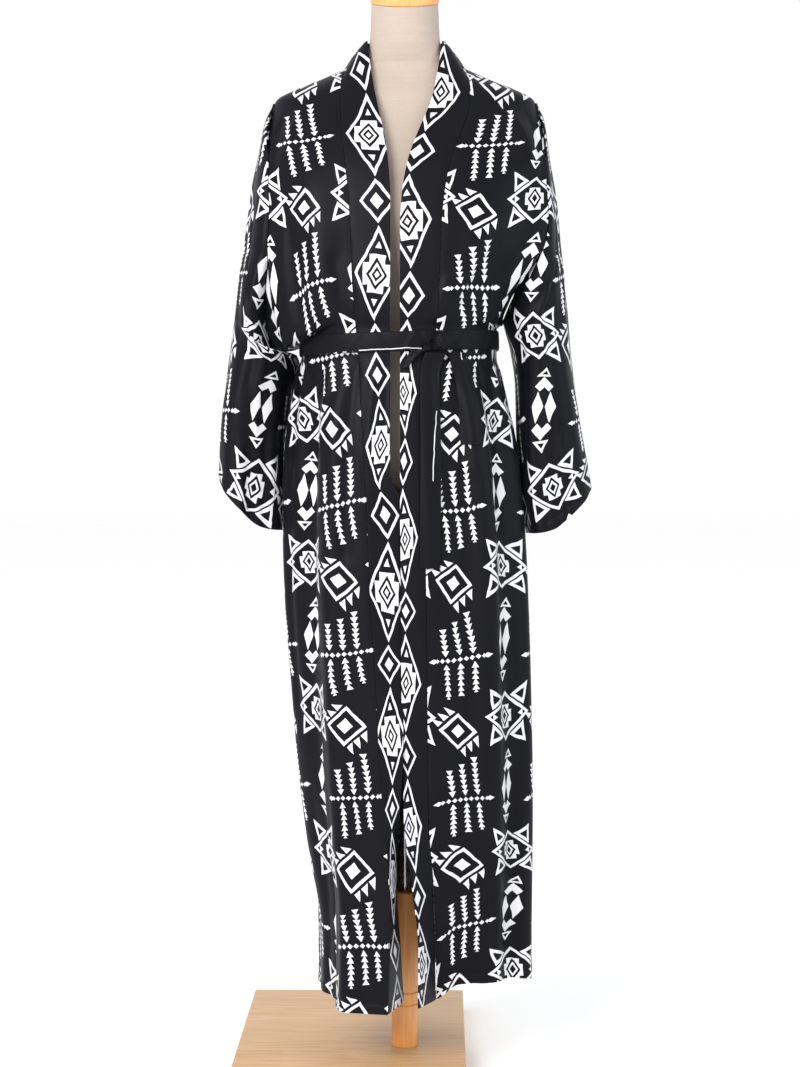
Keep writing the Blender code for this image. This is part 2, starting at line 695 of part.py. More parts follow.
def add_rounded_block(name, centre, directions, size, finish, squareness=0.65):
    """A soft block with rounded sides, such as a knot pulled tight."""
    rings = 9
    sides = 14
    points = []
    faces = []

    def power(value):
        return math.copysign(abs(value) ** squareness, value)

    def place(a, b, c):
        local = (a * size[0] / 2, b * size[1] / 2, c * size[2] / 2)
        return sum((np.array(d) * v for d, v in zip(directions, local)), np.array(centre))

    points.append(place(0, 0, -1))
    for r in range(1, rings):
        tilt = -math.pi / 2 + math.pi * r / rings
        for s in range(sides):
            turn = 2 * math.pi * s / sides
            level = power(math.cos(tilt))
            points.append(place(level * power(math.cos(turn)), level * power(math.sin(turn)), power(math.sin(tilt))))
    points.append(place(0, 0, 1))
    last = len(points) - 1
    for s in range(sides):
        n = (s + 1) % sides
        faces.append((0, 1 + n, 1 + s))
        for r in range(rings - 2):
            low = 1 + r * sides
            faces.append((low + s, low + n, low + sides + n, low + sides + s))
        top = 1 + (rings - 2) * sides
        faces.append((last, top + s, top + n))
    return add_mesh(name, points, faces, finish)


def add_knot(finish):
    """The knot of the belt, on the front of its loop."""
    away = BELT_REST + BELT_CLOTH + TOUCH / 2 + KNOT_SIZE[1] / 2
    centre, outward, along = waist_frame(KNOT_X, away)
    centre[2] = BELT_MIDDLE + BELT_SLOPE * KNOT_X
    inward = -outward
    return add_rounded_block("belt_knot", centre, (along, inward, (0, 0, 1)), KNOT_SIZE, finish)


def hanging_row(side, x, width, height, rest):
    """One row of a belt end that lies on the coat, with its outward directions."""
    small = 0.002
    row = []
    normals = []
    for share in (-0.5, 0.0, 0.5):
        angle = float(angle_at(side, x + share * width, height))
        point = cloth(side, angle, height)
        across = cloth(side, angle + 0.01, height) - cloth(side, angle - 0.01, height)
        up = cloth(side, angle, height + small) - cloth(side, angle, height - small)
        outward = np.cross(across, up)
        outward = outward * side / np.linalg.norm(outward)
        normals.append(outward)
        row.append(point + outward * rest)
    return row, normals


def add_end(name, path, width, finish):
    """A free end of the belt that hangs on the right front, from the knot downwards."""
    rows = []
    normals = []
    for x, height, lift in path:
        row, outward = hanging_row(1, x, width, height, END_REST + BELT_CLOTH + lift)
        rows.append(row)
        normals.append(outward)
    return add_wall(name, np.array(rows), np.array(normals), BELT_CLOTH, finish)


def add_tie_loop(finish):
    """The flat loop of the tie, which lies to the left of the knot and hangs a little."""
    length = 0.052
    height = 0.024
    belly = 0.0052
    drop = 0.010
    start_x = KNOT_X - KNOT_SIZE[0] / 2 - TOUCH
    outline = []
    steps = 8
    for s in range(steps):
        share = s / (steps - 1)
        outline.append((share, -belly * math.sin(math.pi * share**0.7) / 2))
    for s in range(steps - 2, 0, -1):
        share = s / (steps - 1)
        outline.append((share, belly * math.sin(math.pi * share**0.7) / 2))
    points = []
    for level in (-0.5, 0.5):
        for share, out in outline:
            x = start_x - length * share
            point, outward, _ = waist_frame(x, BELT_REST + BELT_CLOTH + TOUCH * 2 + belly / 2 + out)
            narrow = 0.62 + 0.38 * math.sin(math.pi * min(1.0, share + 0.3) / 2)
            lift = level * height * narrow - drop * share
            point[2] = BELT_MIDDLE + BELT_SLOPE * x + lift
            points.append(point)
    count = len(outline)
    faces = [tuple(reversed(range(count))), tuple(range(count, 2 * count))]
    for i in range(count):
        n = (i + 1) % count
        faces.append((i, n, n + count, i + count))
    return add_mesh("belt_loop_tie", points, faces, finish)


def add_turned(name, profile, sides, finish, place=None):
    """A turned solid: a profile of radius and height, revolved and closed at both ends."""
    points = []
    faces = []
    for radius, height in profile:
        for s in range(sides):
            turn = 2 * math.pi * s / sides
            points.append((radius * math.cos(turn), radius * math.sin(turn), height))
    for r in range(len(profile) - 1):
        for s in range(sides):
            n = (s + 1) % sides
            faces.append((r * sides + s, r * sides + n, (r + 1) * sides + n, (r + 1) * sides + s))
    faces.append(tuple(reversed(range(sides))))
    top = (len(profile) - 1) * sides
    faces.append(tuple(range(top, top + sides)))
    if place is not None:
        points = [place(point) for point in points]
    return add_mesh(name, points, faces, finish)


def neck_place(point):
    """Moves a point of the neck cap from its own axis to the tilted top of the neck."""
    x, y, z = point
    lean = float(TORSO["lean"][-1])
    cos, sin = math.cos(NECK_TILT), math.sin(NECK_TILT)
    return (x, -lean + y * cos - z * sin, NECK_TOP + y * sin + z * cos)


def add_torso(finish):
    """The limbless form: hips, waist, bust and shoulders in one smooth body, with its neck."""
    points = []
    faces = []
    tilt = math.tan(NECK_TILT)
    count = len(TORSO["height"])
    for r in range(count):
        row = {name: float(TORSO[name][r]) for name in TORSO}
        for s in range(TORSO_SIDES):
            turn = 2 * math.pi * s / TORSO_SIDES
            deep = row["front"] if math.cos(turn) > 0 else row["back"]
            x = row["half_width"] * math.sin(turn)
            y = -deep * math.cos(turn)
            z = row["height"] + y * tilt * row["tilt"]
            points.append((x, y - row["lean"], z))
    for r in range(count - 1):
        for s in range(TORSO_SIDES):
            n = (s + 1) % TORSO_SIDES
            low = r * TORSO_SIDES
            high = low + TORSO_SIDES
            faces.append((low + s, low + n, high + n, high + s))
    faces.append(tuple(reversed(range(TORSO_SIDES))))
    top = (count - 1) * TORSO_SIDES
    faces.append(tuple(range(top, top + TORSO_SIDES)))
    return add_mesh("form_torso", points, faces, finish)


def add_board(finish):
    """The base board, a box with its edges eased."""
    centre = ((BOARD_LEFT + BOARD_RIGHT) / 2, (BOARD_FRONT + BOARD_BACK) / 2, BOARD_TOP / 2)
    size = (BOARD_RIGHT - BOARD_LEFT, BOARD_BACK - BOARD_FRONT, BOARD_TOP)
    bpy.ops.mesh.primitive_cube_add(size=1, location=centre)
    board = bpy.context.object
    board.name = "base_board"
    board.scale = size
    bpy.ops.object.transform_apply(location=False, rotation=False, scale=True)
    board.data.materials.append(finish)
    edge = board.modifiers.new("eased edges", "BEVEL")
    edge.width = BOARD_EDGE
    edge.segments = 1
    return board


def pole_profile():
    """Radius and height up the pole, with its two turned ring grooves near the foot."""
    groove = 0.0015
    profile = [(POLE_RADIUS, BOARD_TOP + TOUCH)]
    for middle in (0.093, 0.111):
        profile.append((POLE_RADIUS, middle - 0.0025))
        profile.append((POLE_RADIUS - groove, middle))
        profile.append((POLE_RADIUS, middle + 0.0025))
    profile.append((POLE_RADIUS, POLE_TOP - 0.002))
    profile.append((POLE_RADIUS - 0.002, POLE_TOP))
    return profile


def cap_profile():
    """Radius and height of the neck cap: a wide disc, a step and a low domed button."""
    return [
        (CAP_RADIUS - 0.0015, TOUCH),
        (CAP_RADIUS, TOUCH + 0.0015),
        (CAP_RADIUS, 0.0105),
        (CAP_RADIUS - 0.0015, 0.0120),
        (0.0405, 0.0120),
        (0.0395, 0.0135),
        (0.0395, 0.0200),
        (0.0360, 0.0235),
        (0.0240, 0.0270),
        (0.0100, 0.0285),
    ]


def main():
    for thing in list(bpy.data.objects):
        bpy.data.objects.remove(thing, do_unlink=True)
    printed = material("printed cloth", (0.026, 0.025, 0.032), 0.55)
    linen = material("linen", (0.78, 0.70, 0.60), 0.85)
    turned_wood = material("turned wood", (0.50, 0.29, 0.15), 0.45)
    board_wood = material("board wood", (0.76, 0.52, 0.31), 0.50)
    steel = material("steel", (0.62, 0.60, 0.58), 0.25, 1.0)
    add_back(printed)
    for side in SIDES:
        add_front(side, printed)
        add_sleeve(side, printed)
        add_band(side, printed)
    add_neck_band(printed)
    add_belt(printed)
    add_knot(printed)
    add_tie_loop(printed)
    long_path = [(LONG_END_X, h, 0.0) for h in (0.742, 0.784, 0.850, 0.910, 0.970, 1.010)]
    long_path.append((LONG_END_X + 0.003, 1.034, 0.003))
    long_path.append((KNOT_X - 0.009, 1.0435, 0.0055))
    add_end("belt_end_long", long_path, LONG_END_WIDTH, printed)
    short_path = [(0.092, 0.915, 0.0), (0.088, 0.970, 0.0), (0.081, 1.010, 0.0), (0.073, 1.034, 0.003)]
    short_path.append((0.0715, 1.0435, 0.0055))
    add_end("belt_end_short", short_path, SHORT_END_WIDTH, printed)
    add_torso(linen)
    add_turned("neck_cap", cap_profile(), 32, turned_wood, neck_place)
    tube = [(TUBE_RADIUS, POLE_TOP + TOUCH), (TUBE_RADIUS, TORSO_BOTTOM - TOUCH)]
    add_turned("form_tube", tube, 20, steel)
    add_turned("form_pole", pole_profile(), 32, turned_wood)
    add_board(board_wood)


main()
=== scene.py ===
# %% [markdown]
# # A long kimono coat on a dress form
#
# The object is one garment of thin woven cloth, tied with its own belt. It hangs on a
# linen form without limbs, which stands on a steel tube, a turned pole and a board.
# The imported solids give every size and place. This lesson dresses them: each solid of
# cloth gets a thin, finely folded shell that lies on the same surface, and each hard
# part gets a smooth shape and a finish of its own.
#
# The first cell loads the solids and keeps their box, because the finished object has
# to keep that size.

# %% Load the frame
import math

import bpy
import numpy as np
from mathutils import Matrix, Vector


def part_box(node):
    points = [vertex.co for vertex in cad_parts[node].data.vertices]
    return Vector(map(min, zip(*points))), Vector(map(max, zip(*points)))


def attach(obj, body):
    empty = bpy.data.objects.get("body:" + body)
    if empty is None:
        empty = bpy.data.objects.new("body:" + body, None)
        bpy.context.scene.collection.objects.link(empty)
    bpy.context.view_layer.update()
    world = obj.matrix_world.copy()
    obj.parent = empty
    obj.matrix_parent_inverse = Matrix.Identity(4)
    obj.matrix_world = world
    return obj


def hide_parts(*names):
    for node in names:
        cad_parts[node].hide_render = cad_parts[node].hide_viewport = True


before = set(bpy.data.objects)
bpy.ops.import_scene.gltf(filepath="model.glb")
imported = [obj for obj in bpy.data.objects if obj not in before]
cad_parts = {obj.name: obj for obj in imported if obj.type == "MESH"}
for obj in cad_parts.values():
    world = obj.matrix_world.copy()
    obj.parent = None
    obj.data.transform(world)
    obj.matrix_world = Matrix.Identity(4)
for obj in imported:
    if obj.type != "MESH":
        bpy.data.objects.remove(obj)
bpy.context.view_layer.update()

# %% [markdown]
# ## Camera
#
# A photograph of a standing garment is usually taken from a few metres away with a long
# lens, so that the hem isn't seen from above. The camera's height, tilt and lens were
# worked out together, from points whose real places are known: the belt, the hem, the
# foot of the pole and the corners of the board. It stands a little to the right of the
# pole, at about hip height, and looks slightly down.

# %% Camera
CAMERA_PLACE = (0.0445, -3.5, 0.948)
CAMERA_DOWN = math.radians(2.68)
CAMERA_LEFT = math.radians(0.847)
FOCAL_PIXELS = 2401.7
PICTURE_HEIGHT = 1067
camera_turn = (math.pi / 2 - CAMERA_DOWN, 0, CAMERA_LEFT)
bpy.ops.object.camera_add(location=CAMERA_PLACE, rotation=camera_turn)
camera = bpy.context.object
camera.name = "camera"
camera.data.sensor_width = 36
camera.data.lens = FOCAL_PIXELS * camera.data.sensor_width / PICTURE_HEIGHT
bpy.context.scene.camera = camera
print("lens", round(camera.data.lens, 1), "mm")

# %% [markdown]
# ## The draped surface as tables
#
# A cutter would describe this coat by how wide and how deep it hangs at each height.
# The tables below do the same. They repeat the sizes of the solids, because this file
# can't read the file that made them. Only the left sleeve's underarm seam and the bag
# over the belt lie a little off the solids, closer to the photo. Smooth curves through
# the columns then give every point of the cloth, and the large folds are soft ridges
# and troughs that run down it.

# %% Sizes of the cloth and the stand
# Driving sizes of the cloth
BAND_WIDTH = 0.060
SEAM = 0.0003
ARMHOLE_EASE = 0.0004
NECK_JOIN = 0.0009
HEM = 0.115
SHOULDER_TIP = 1.405
NECK_SEAM = 1.455
NECK_END = math.radians(70)
ROUNDNESS = 0.08
ROUND_TOP = 1.43
ROUND_FADE = 0.15

# Driving sizes of the belt
BELT_CLOTH = 0.0026
BELT_HEIGHT = 0.028
BELT_MIDDLE = 1.0595
BELT_SLOPE = 0.03
BELT_REST = 0.0006
KNOT_X = 0.052
KNOT_SIZE = (0.030, 0.018, 0.027)
LONG_END_X = 0.037
LONG_END_WIDTH = 0.028
SHORT_END_WIDTH = 0.022
END_REST = 0.0010

# Driving sizes of the stand
BOARD_LEFT = -0.246
BOARD_RIGHT = 0.089
BOARD_FRONT = -0.130
BOARD_BACK = 0.342
BOARD_TOP = 0.030
BOARD_EDGE = 0.0015
POLE_RADIUS = 0.0195
POLE_TOP = 0.260
TUBE_RADIUS = 0.0075
TORSO_BOTTOM = 0.845
NECK_TOP = 1.548
NECK_TILT = math.radians(16)
CAP_RADIUS = 0.0495
TOUCH = 0.0003


def table(lines):
    """Turns lines of numbers under a line of names into columns that are read by name."""
    names, *rows = lines.strip().splitlines()
    columns = np.array([row.split() for row in rows], float).T.copy()
    return dict(zip(names.split(), columns))


def each_row(columns):
    """The rows of a table, each with its numbers by name."""
    return [dict(zip(columns, row)) for row in zip(*columns.values())]


# The draped coat by height along the cloth. left and right are how far out the side
# seam or armhole seam lies, front and back how deep the cloth lies at the centre,
# armhole the angle of the armhole seam, and droop how far the cloth bags over the belt.
COAT = table(
    """
    height left right front_left front_right back armhole droop_left droop_right
    0.115 0.123 0.186 0.165 0.075 0.115 90 0.000 0.000
    0.180 0.123 0.186 0.163 0.088 0.118 90 0.000 0.000
    0.257 0.125 0.186 0.160 0.105 0.120 90 0.000 0.000
    0.350 0.138 0.186 0.157 0.125 0.124 90 0.000 0.000
    0.450 0.150 0.185 0.155 0.140 0.128 90 0.000 0.000
    0.570 0.160 0.182 0.152 0.149 0.132 90 0.000 0.000
    0.690 0.169 0.178 0.151 0.151 0.136 90 0.000 0.000
    0.784 0.172 0.173 0.150 0.150 0.138 90 0.000 0.000
    0.850 0.172 0.167 0.149 0.149 0.138 90 0.000 0.000
    0.910 0.169 0.160 0.147 0.147 0.135 90 0.000 0.000
    0.970 0.162 0.149 0.144 0.144 0.126 90 0.000 0.000
    1.010 0.155 0.139 0.141 0.141 0.115 90 0.000 0.000
    1.040 0.150 0.133 0.138 0.138 0.107 90 0.000 0.000
    1.080 0.150 0.133 0.138 0.138 0.107 90 0.000 0.000
    1.086 0.158 0.136 0.141 0.141 0.111 90 0.027 0.002
    1.094 0.171 0.139 0.145 0.145 0.117 90 0.043 0.008
    1.105 0.187 0.141 0.148 0.148 0.122 90 0.053 0.012
    1.130 0.196 0.152 0.150 0.150 0.125 76 0.047 0.010
    1.160 0.196 0.172 0.150 0.150 0.124 64 0.031 0.005
    1.200 0.190 0.193 0.148 0.148 0.120 56 0.010 0.000
    1.250 0.192 0.202 0.143 0.143 0.117 54 0.000 0.000
    1.300 0.193 0.202 0.134 0.134 0.117 56 0.000 0.000
    1.345 0.193 0.199 0.118 0.118 0.114 62 0.000 0.000
    1.380 0.192 0.194 0.100 0.100 0.106 74 0.000 0.000
    1.395 0.190 0.191 0.092 0.092 0.101 81 0.000 0.000
    1.405 0.189 0.189 0.087 0.087 0.097 87 0.000 0.000
    1.412 0.185 0.185 0.083 0.083 0.094 90 0.000 0.000
    1.425 0.160 0.160 0.076 0.076 0.088 90 0.000 0.000
    1.440 0.122 0.122 0.068 0.068 0.080 90 0.000 0.000
    1.448 0.104 0.104 0.064 0.064 0.076 90 0.000 0.000
    1.455 0.088 0.088 0.060 0.060 0.072 90 0.000 0.000
    """
)

# The neckband by height: how far out its seam and its free edge lie on each side, how
# far the free edge turns inwards from the cloth's line, and how far it stands up.
NECKBAND = table(
    """
    height seam_left edge_left turn_left seam_right edge_right turn_right rise
    0.115 0.022 0.000 0.080 0.0465 0.0215 -0.053 0.000
    0.200 0.020 0.005 0.068 0.0450 0.0225 -0.043 0.000
    0.290 0.019 0.010 0.050 0.0420 0.0130 -0.030 0.000
    0.380 0.028 0.006 0.020 0.0354 0.0010 -0.012 0.000
    0.470 0.034 0.001 0.006 0.0340 -0.0010 0.000 0.000
    0.570 0.039 0.000 0.005 0.0333 -0.0030 0.000 0.000
    0.740 0.048 0.000 0.005 0.0310 -0.0040 0.000 0.000
    0.835 0.051 0.003 0.004 0.0270 -0.0050 0.000 0.000
    0.872 0.053 0.018 0.000 0.0260 -0.0050 0.000 0.000
    0.950 0.058 0.020 0.000 0.0240 -0.0050 0.000 0.000
    1.060 0.066 0.020 0.000 0.0440 -0.0050 0.000 0.000
    1.150 0.073 0.019 0.000 0.0500 -0.0050 0.000 0.000
    1.216 0.075 0.019 0.000 0.0525 -0.0050 0.000 0.000
    1.260 0.077 0.019 0.000 0.0560 -0.0030 0.000 0.000
    1.310 0.083 0.022 0.000 0.0650 0.0050 0.000 0.000
    1.355 0.088 0.029 0.002 0.0810 0.0200 0.002 0.000
    1.400 0.091 0.040 0.008 0.0930 0.0390 0.008 0.006
    1.430 0.091 0.048 0.020 0.0930 0.0475 0.020 0.020
    1.455 0.0827 0.0545 0.030 0.0827 0.0545 0.030 0.040
    """
)

# Large folds: where each one lies at the belt and at its far end, in degrees round the
# coat with the left side negative, its reach in height, its fade, depth and half width.
FOLDS = table(
    """
    belt_angle far_angle low high fade depth width
    -32 -37 -1.0 1.043 0.11 0.012 8
    -50 -56 -1.0 1.040 0.16 -0.016 11
    -72 -78 0.20 1.043 0.10 0.007 8
    -20 -16 0.55 1.043 0.14 0.004 6
    -104 -106 -1.0 1.043 0.16 -0.009 9
    -122 -126 -1.0 1.043 0.13 0.011 9
    -143 -148 -1.0 1.043 0.15 -0.010 9
    -162 -168 -1.0 1.043 0.12 0.010 8
    178 172 -1.0 1.043 0.17 -0.009 9
    160 152 -1.0 1.043 0.13 0.010 8
    140 133 -1.0 1.043 0.15 -0.010 9
    118 113 -1.0 1.043 0.12 0.010 9
    27 29 0.40 1.043 0.12 -0.005 6
    38 40 -1.0 1.043 0.11 0.011 7
    52 52 -1.0 1.043 0.14 -0.009 7
    66 64 -1.0 1.043 0.12 0.009 8
    82 84 0.45 1.043 0.12 -0.005 8
    """
)

# Folds of the bodice, bagged over the belt and fading up towards the shoulders.
BODICE_FOLDS = table(
    """
    belt_angle far_angle low high fade depth width
    -30 -34 1.082 1.330 0.07 0.006 7
    -44 -48 1.082 1.300 0.06 -0.006 7
    -58 -56 1.082 1.260 0.06 0.006 8
    -22 -24 1.082 1.230 0.05 -0.003 6
    26 30 1.082 1.250 0.06 0.004 6
    40 44 1.082 1.320 0.07 -0.005 7
    54 55 1.082 1.280 0.06 0.006 8
    -150 -154 1.082 1.320 0.08 0.007 9
    -172 -176 1.082 1.360 0.10 -0.006 8
    166 168 1.082 1.340 0.08 0.007 9
    140 136 1.082 1.290 0.07 -0.005 8
    -128 -124 1.082 1.270 0.07 -0.005 8
    """
)

# How far the hem rises above its lowest line, by the angle round the coat.
HEM_LIFT = table(
    """
    angle lift
    -180 0.012
    -90 0.010
    -50 0.002
    -20 0.000
    0 0.000
    13 0.000
    24 0.022
    50 0.026
    90 0.017
    180 0.012
    """
)
HEM_LIFT_REACH = 0.30

# The sleeve from the shoulder tip to the underarm, by height.
UPPER_SLEEVE = table(
    """
    height outer_left outer_right depth
    1.105 0.2460 0.2360 0.086
    1.130 0.2425 0.2330 0.088
    1.160 0.2385 0.2295 0.090
    1.200 0.2315 0.2230 0.090
    1.250 0.2240 0.2180 0.086
    1.300 0.2170 0.2115 0.076
    1.345 0.2090 0.2060 0.060
    1.380 0.2015 0.2010 0.036
    1.395 0.1950 0.1950 0.020
    1.405 0.1882 0.1882 0.009
    """
)

# The sleeve from the underarm, at drop 0, to the cuff, at drop 1: inner and low are how
# far out and how high its underarm seam lies, outer and high the same for its outer
# fold, and front and back how deep it is.
LOWER_SLEEVE = table(
    """
    drop inner_left low_left outer_left high_left inner_right low_right outer_right high_right front back
    0.00 0.1875 1.052 0.2460 1.105 0.1415 1.093 0.2360 1.105 0.086 0.086
    0.04 0.1580 1.044 0.2482 1.090 0.1453 1.0787 0.2373 1.0883 0.0867 0.086
    0.12 0.1545 1.028 0.2525 1.060 0.1530 1.050 0.2400 1.055 0.088 0.086
    0.28 0.1635 0.985 0.2590 1.010 0.1600 0.998 0.2455 1.005 0.088 0.084
    0.46 0.1690 0.935 0.2640 0.965 0.1615 0.940 0.2525 0.952 0.086 0.082
    0.64 0.1710 0.885 0.2670 0.930 0.1640 0.885 0.2590 0.918 0.083 0.080
    0.82 0.1715 0.835 0.2680 0.903 0.1690 0.835 0.2650 0.888 0.081 0.078
    1.00 0.1715 0.790 0.2685 0.879 0.1770 0.787 0.2690 0.863 0.080 0.078
    """
)
CUFF_SWEEP = 2.6
SLEEVE_ROUNDNESS = 0.05
# The left sleeve's underarm seam falls behind the coat's side, so no gap shows there.
SET_BACK = {-1: 0.035, 1: 0.0}

# Soft folds down each sleeve: how far round the sleeve, depth and half width.
SLEEVE_FOLDS = table(
    """
    round_at depth width
    0.14 0.006 0.045
    0.25 -0.007 0.050
    0.37 0.005 0.045
    0.62 -0.006 0.050
    0.76 0.006 0.050
    0.88 -0.005 0.040
    """
)

# The torso of the form by height: half width, depth in front and behind, how far its
# centre leans forward, and how much of the neck's tilt the section has.
TORSO = table(
    """
    height half_width front back lean tilt
    0.845 0.134 0.090 0.096 0.000 0
    0.852 0.142 0.097 0.104 0.000 0
    0.868 0.146 0.101 0.109 0.000 0
    0.920 0.142 0.101 0.111 0.000 0
    0.970 0.132 0.098 0.104 0.000 0
    1.010 0.126 0.095 0.094 0.000 0
    1.060 0.119 0.093 0.085 0.000 0
    1.110 0.125 0.100 0.085 0.000 0
    1.170 0.143 0.115 0.090 0.000 0
    1.240 0.156 0.125 0.096 0.000 0
    1.300 0.159 0.113 0.099 0.000 0
    1.350 0.168 0.092 0.096 0.000 0
    1.380 0.178 0.078 0.088 0.000 0
    1.395 0.1805 0.073 0.083 0.000 0
    1.405 0.1800 0.069 0.080 0.000 0
    1.412 0.1780 0.066 0.077 0.000 0
    1.425 0.1535 0.057 0.070 0.000 0
    1.440 0.1150 0.046 0.061 0.000 0
    1.455 0.0800 0.040 0.052 0.000 0
    1.464 0.0650 0.041 0.049 0.001 0
    1.476 0.0555 0.044 0.048 0.003 0.1
    1.495 0.0515 0.047 0.050 0.006 0.4
    1.520 0.0500 0.047 0.049 0.010 0.8
    1.548 0.0490 0.047 0.047 0.015 1.0
    """
)

# %% [markdown]
# ## Fine creases, listed one by one
#
# The solids carry only the main folds. Real cloth also has short gathers where the
# belt grips it, long soft drag lines, and small troughs that start and stop. Each row
# below is one of them: where it lies at the belt and at its far end in degrees round
# the coat, from what height to what height it runs, how softly it fades, how deep it
# is and how wide. No two rows are alike, and the back has as many as the front.

# %% Creases of the skirt and the bodice
SKIRT_CREASES = table(
    """
    belt_angle far_angle low high fade depth width
    -9 -14 0.93 1.041 0.022 -0.0030 2.6
    -15 -19 0.88 1.041 0.024 0.0036 2.8
    -25 -31 0.74 1.041 0.026 -0.0034 3.0
    -39 -43 0.90 1.041 0.022 0.0040 2.6
    -45 -52 0.60 1.041 0.028 -0.0036 3.2
    -58 -66 0.84 1.041 0.024 0.0042 3.0
    -66 -72 0.52 1.041 0.030 -0.0038 3.4
    -80 -90 0.80 1.041 0.024 0.0040 3.2
    -89 -98 0.34 1.041 0.034 -0.0045 4.0
    -97 -110 0.86 1.041 0.022 0.0038 2.8
    -113 -117 0.44 1.041 0.030 -0.0036 3.6
    -131 -138 0.90 1.041 0.020 0.0036 2.8
    -136 -131 0.25 1.041 0.034 -0.0034 4.2
    -153 -158 0.86 1.041 0.022 0.0040 3.0
    -169 -160 0.48 1.041 0.030 -0.0034 3.6
    -176 -178 0.92 1.041 0.020 0.0034 2.6
    170 163 0.82 1.041 0.022 0.0038 3.0
    153 146 0.38 1.041 0.032 -0.0036 3.8
    147 141 0.90 1.041 0.020 0.0038 2.8
    128 124 0.55 1.041 0.028 -0.0038 3.4
    110 101 0.88 1.041 0.022 0.0040 3.0
    99 94 0.30 1.041 0.034 -0.0044 4.0
    90 84 0.86 1.041 0.024 0.0036 2.8
    74 70 0.66 1.041 0.026 -0.0038 3.0
    60 60 0.90 1.041 0.020 0.0040 2.6
    46 45 0.50 1.041 0.028 -0.0032 3.0
    33 33 0.86 1.041 0.022 0.0036 2.6
    19 22 0.80 1.041 0.024 -0.0026 2.6
    -44 -47 -1.0 0.60 0.20 0.0050 3.6
    -62 -66 -1.0 0.46 0.16 -0.0040 3.4
    -95 -92 -1.0 0.52 0.18 0.0055 4.0
    -114 -118 -1.0 0.42 0.15 -0.0045 3.8
    -157 -160 -1.0 0.55 0.20 0.0045 4.0
    -172 -174 -1.0 0.36 0.14 -0.0040 3.6
    165 162 -1.0 0.60 0.20 0.0048 4.0
    146 142 -1.0 0.40 0.16 -0.0042 3.6
    126 122 -1.0 0.50 0.18 0.0050 4.0
    104 100 -1.0 0.44 0.15 -0.0040 3.8
    58 58 -1.0 0.48 0.16 0.0040 3.0
    45 46 -1.0 0.38 0.14 -0.0034 2.8
    33 34 -1.0 0.52 0.18 0.0036 2.6
    """
)
BODICE_CREASES = table(
    """
    belt_angle far_angle low high fade depth width
    -17 -20 1.081 1.150 0.020 0.0030 2.4
    -26 -26 1.081 1.190 0.024 -0.0034 2.6
    -37 -41 1.081 1.170 0.022 0.0040 2.8
    -50 -44 1.081 1.240 0.030 0.0040 3.0
    -63 -52 1.081 1.205 0.026 -0.0042 3.2
    -74 -60 1.081 1.180 0.024 0.0040 3.2
    -88 -92 1.081 1.110 0.016 -0.0030 3.4
    -101 -112 1.081 1.160 0.024 0.0038 3.2
    -116 -122 1.081 1.220 0.028 0.0036 3.4
    -139 -136 1.081 1.180 0.022 -0.0034 3.0
    -160 -162 1.081 1.200 0.024 0.0036 3.0
    -168 -172 1.081 1.150 0.020 -0.0030 2.8
    177 176 1.081 1.190 0.024 0.0036 3.0
    157 160 1.081 1.160 0.020 -0.0032 2.8
    148 140 1.081 1.230 0.028 0.0036 3.2
    128 124 1.081 1.170 0.022 0.0038 3.0
    112 118 1.081 1.150 0.020 -0.0034 3.0
    88 92 1.081 1.112 0.016 0.0028 3.2
    72 60 1.081 1.180 0.024 -0.0036 3.0
    62 50 1.081 1.230 0.028 0.0036 3.0
    47 46 1.081 1.190 0.024 0.0036 2.8
    33 36 1.081 1.220 0.026 -0.0032 2.6
    20 22 1.081 1.160 0.020 0.0028 2.4
    -30 -58 1.250 1.400 0.040 -0.0030 3.0
    -34 -48 1.300 1.400 0.034 0.0028 3.2
    30 60 1.250 1.400 0.040 -0.0030 3.0
    36 50 1.290 1.400 0.034 0.0028 3.2
    -150 -126 1.260 1.400 0.040 -0.0030 3.4
    150 128 1.260 1.400 0.040 0.0030 3.4
    """
)
print("creases", len(each_row(SKIRT_CREASES)) + len(each_row(BODICE_CREASES)))

# %% The curves and the cloth's own surface
class Profile:
    """A smooth curve through one column of a table that never overshoots its rows."""

    def __init__(self, rows, name, along="height"):
        self.x = rows[along]
        self.y = rows[name]
        self.step = np.diff(self.x)
        rise = np.diff(self.y) / self.step
        self.slope = np.zeros(len(self.x))
        self.slope[0] = rise[0]
        self.slope[-1] = rise[-1]
        for i in range(1, len(self.x) - 1):
            if rise[i - 1] * rise[i] > 0:
                self.slope[i] = 2 * rise[i - 1] * rise[i] / (rise[i - 1] + rise[i])

    def __call__(self, at):
        at = np.clip(at, self.x[0], self.x[-1])
        i = np.clip(np.searchsorted(self.x, at, side="right") - 1, 0, len(self.x) - 2)
        step = self.step[i]
        t = (at - self.x[i]) / step
        level = self.y[i] * (1 + 2 * t) * (1 - t) ** 2 + self.y[i + 1] * t * t * (3 - 2 * t)
        return level + step * (self.slope[i] * t * (1 - t) ** 2 + self.slope[i + 1] * t * t * (t - 1))


COAT_AT = {name: Profile(COAT, name) for name in COAT}
BAND_AT = {name: Profile(NECKBAND, name) for name in NECKBAND}
UPPER_AT = {name: Profile(UPPER_SLEEVE, name) for name in UPPER_SLEEVE}
LOWER_AT = {name: Profile(LOWER_SLEEVE, name, "drop") for name in LOWER_SLEEVE}
LIFT_AT = Profile(HEM_LIFT, "lift", "angle")
SIDES = {-1: "left", 1: "right"}


def ease(t):
    """Rises from 0 to 1 with a soft start and a soft end."""
    t = np.clip(t, 0, 1)
    return t * t * (3 - 2 * t)


def hump(away, width):
    """1 in the middle, and almost 0 from two widths away."""
    return np.exp(-((away / width) ** 2))


def nearest_turn(degrees):
    """The same angle between -180 and 180 degrees."""
    return (degrees + 180) % 360 - 180


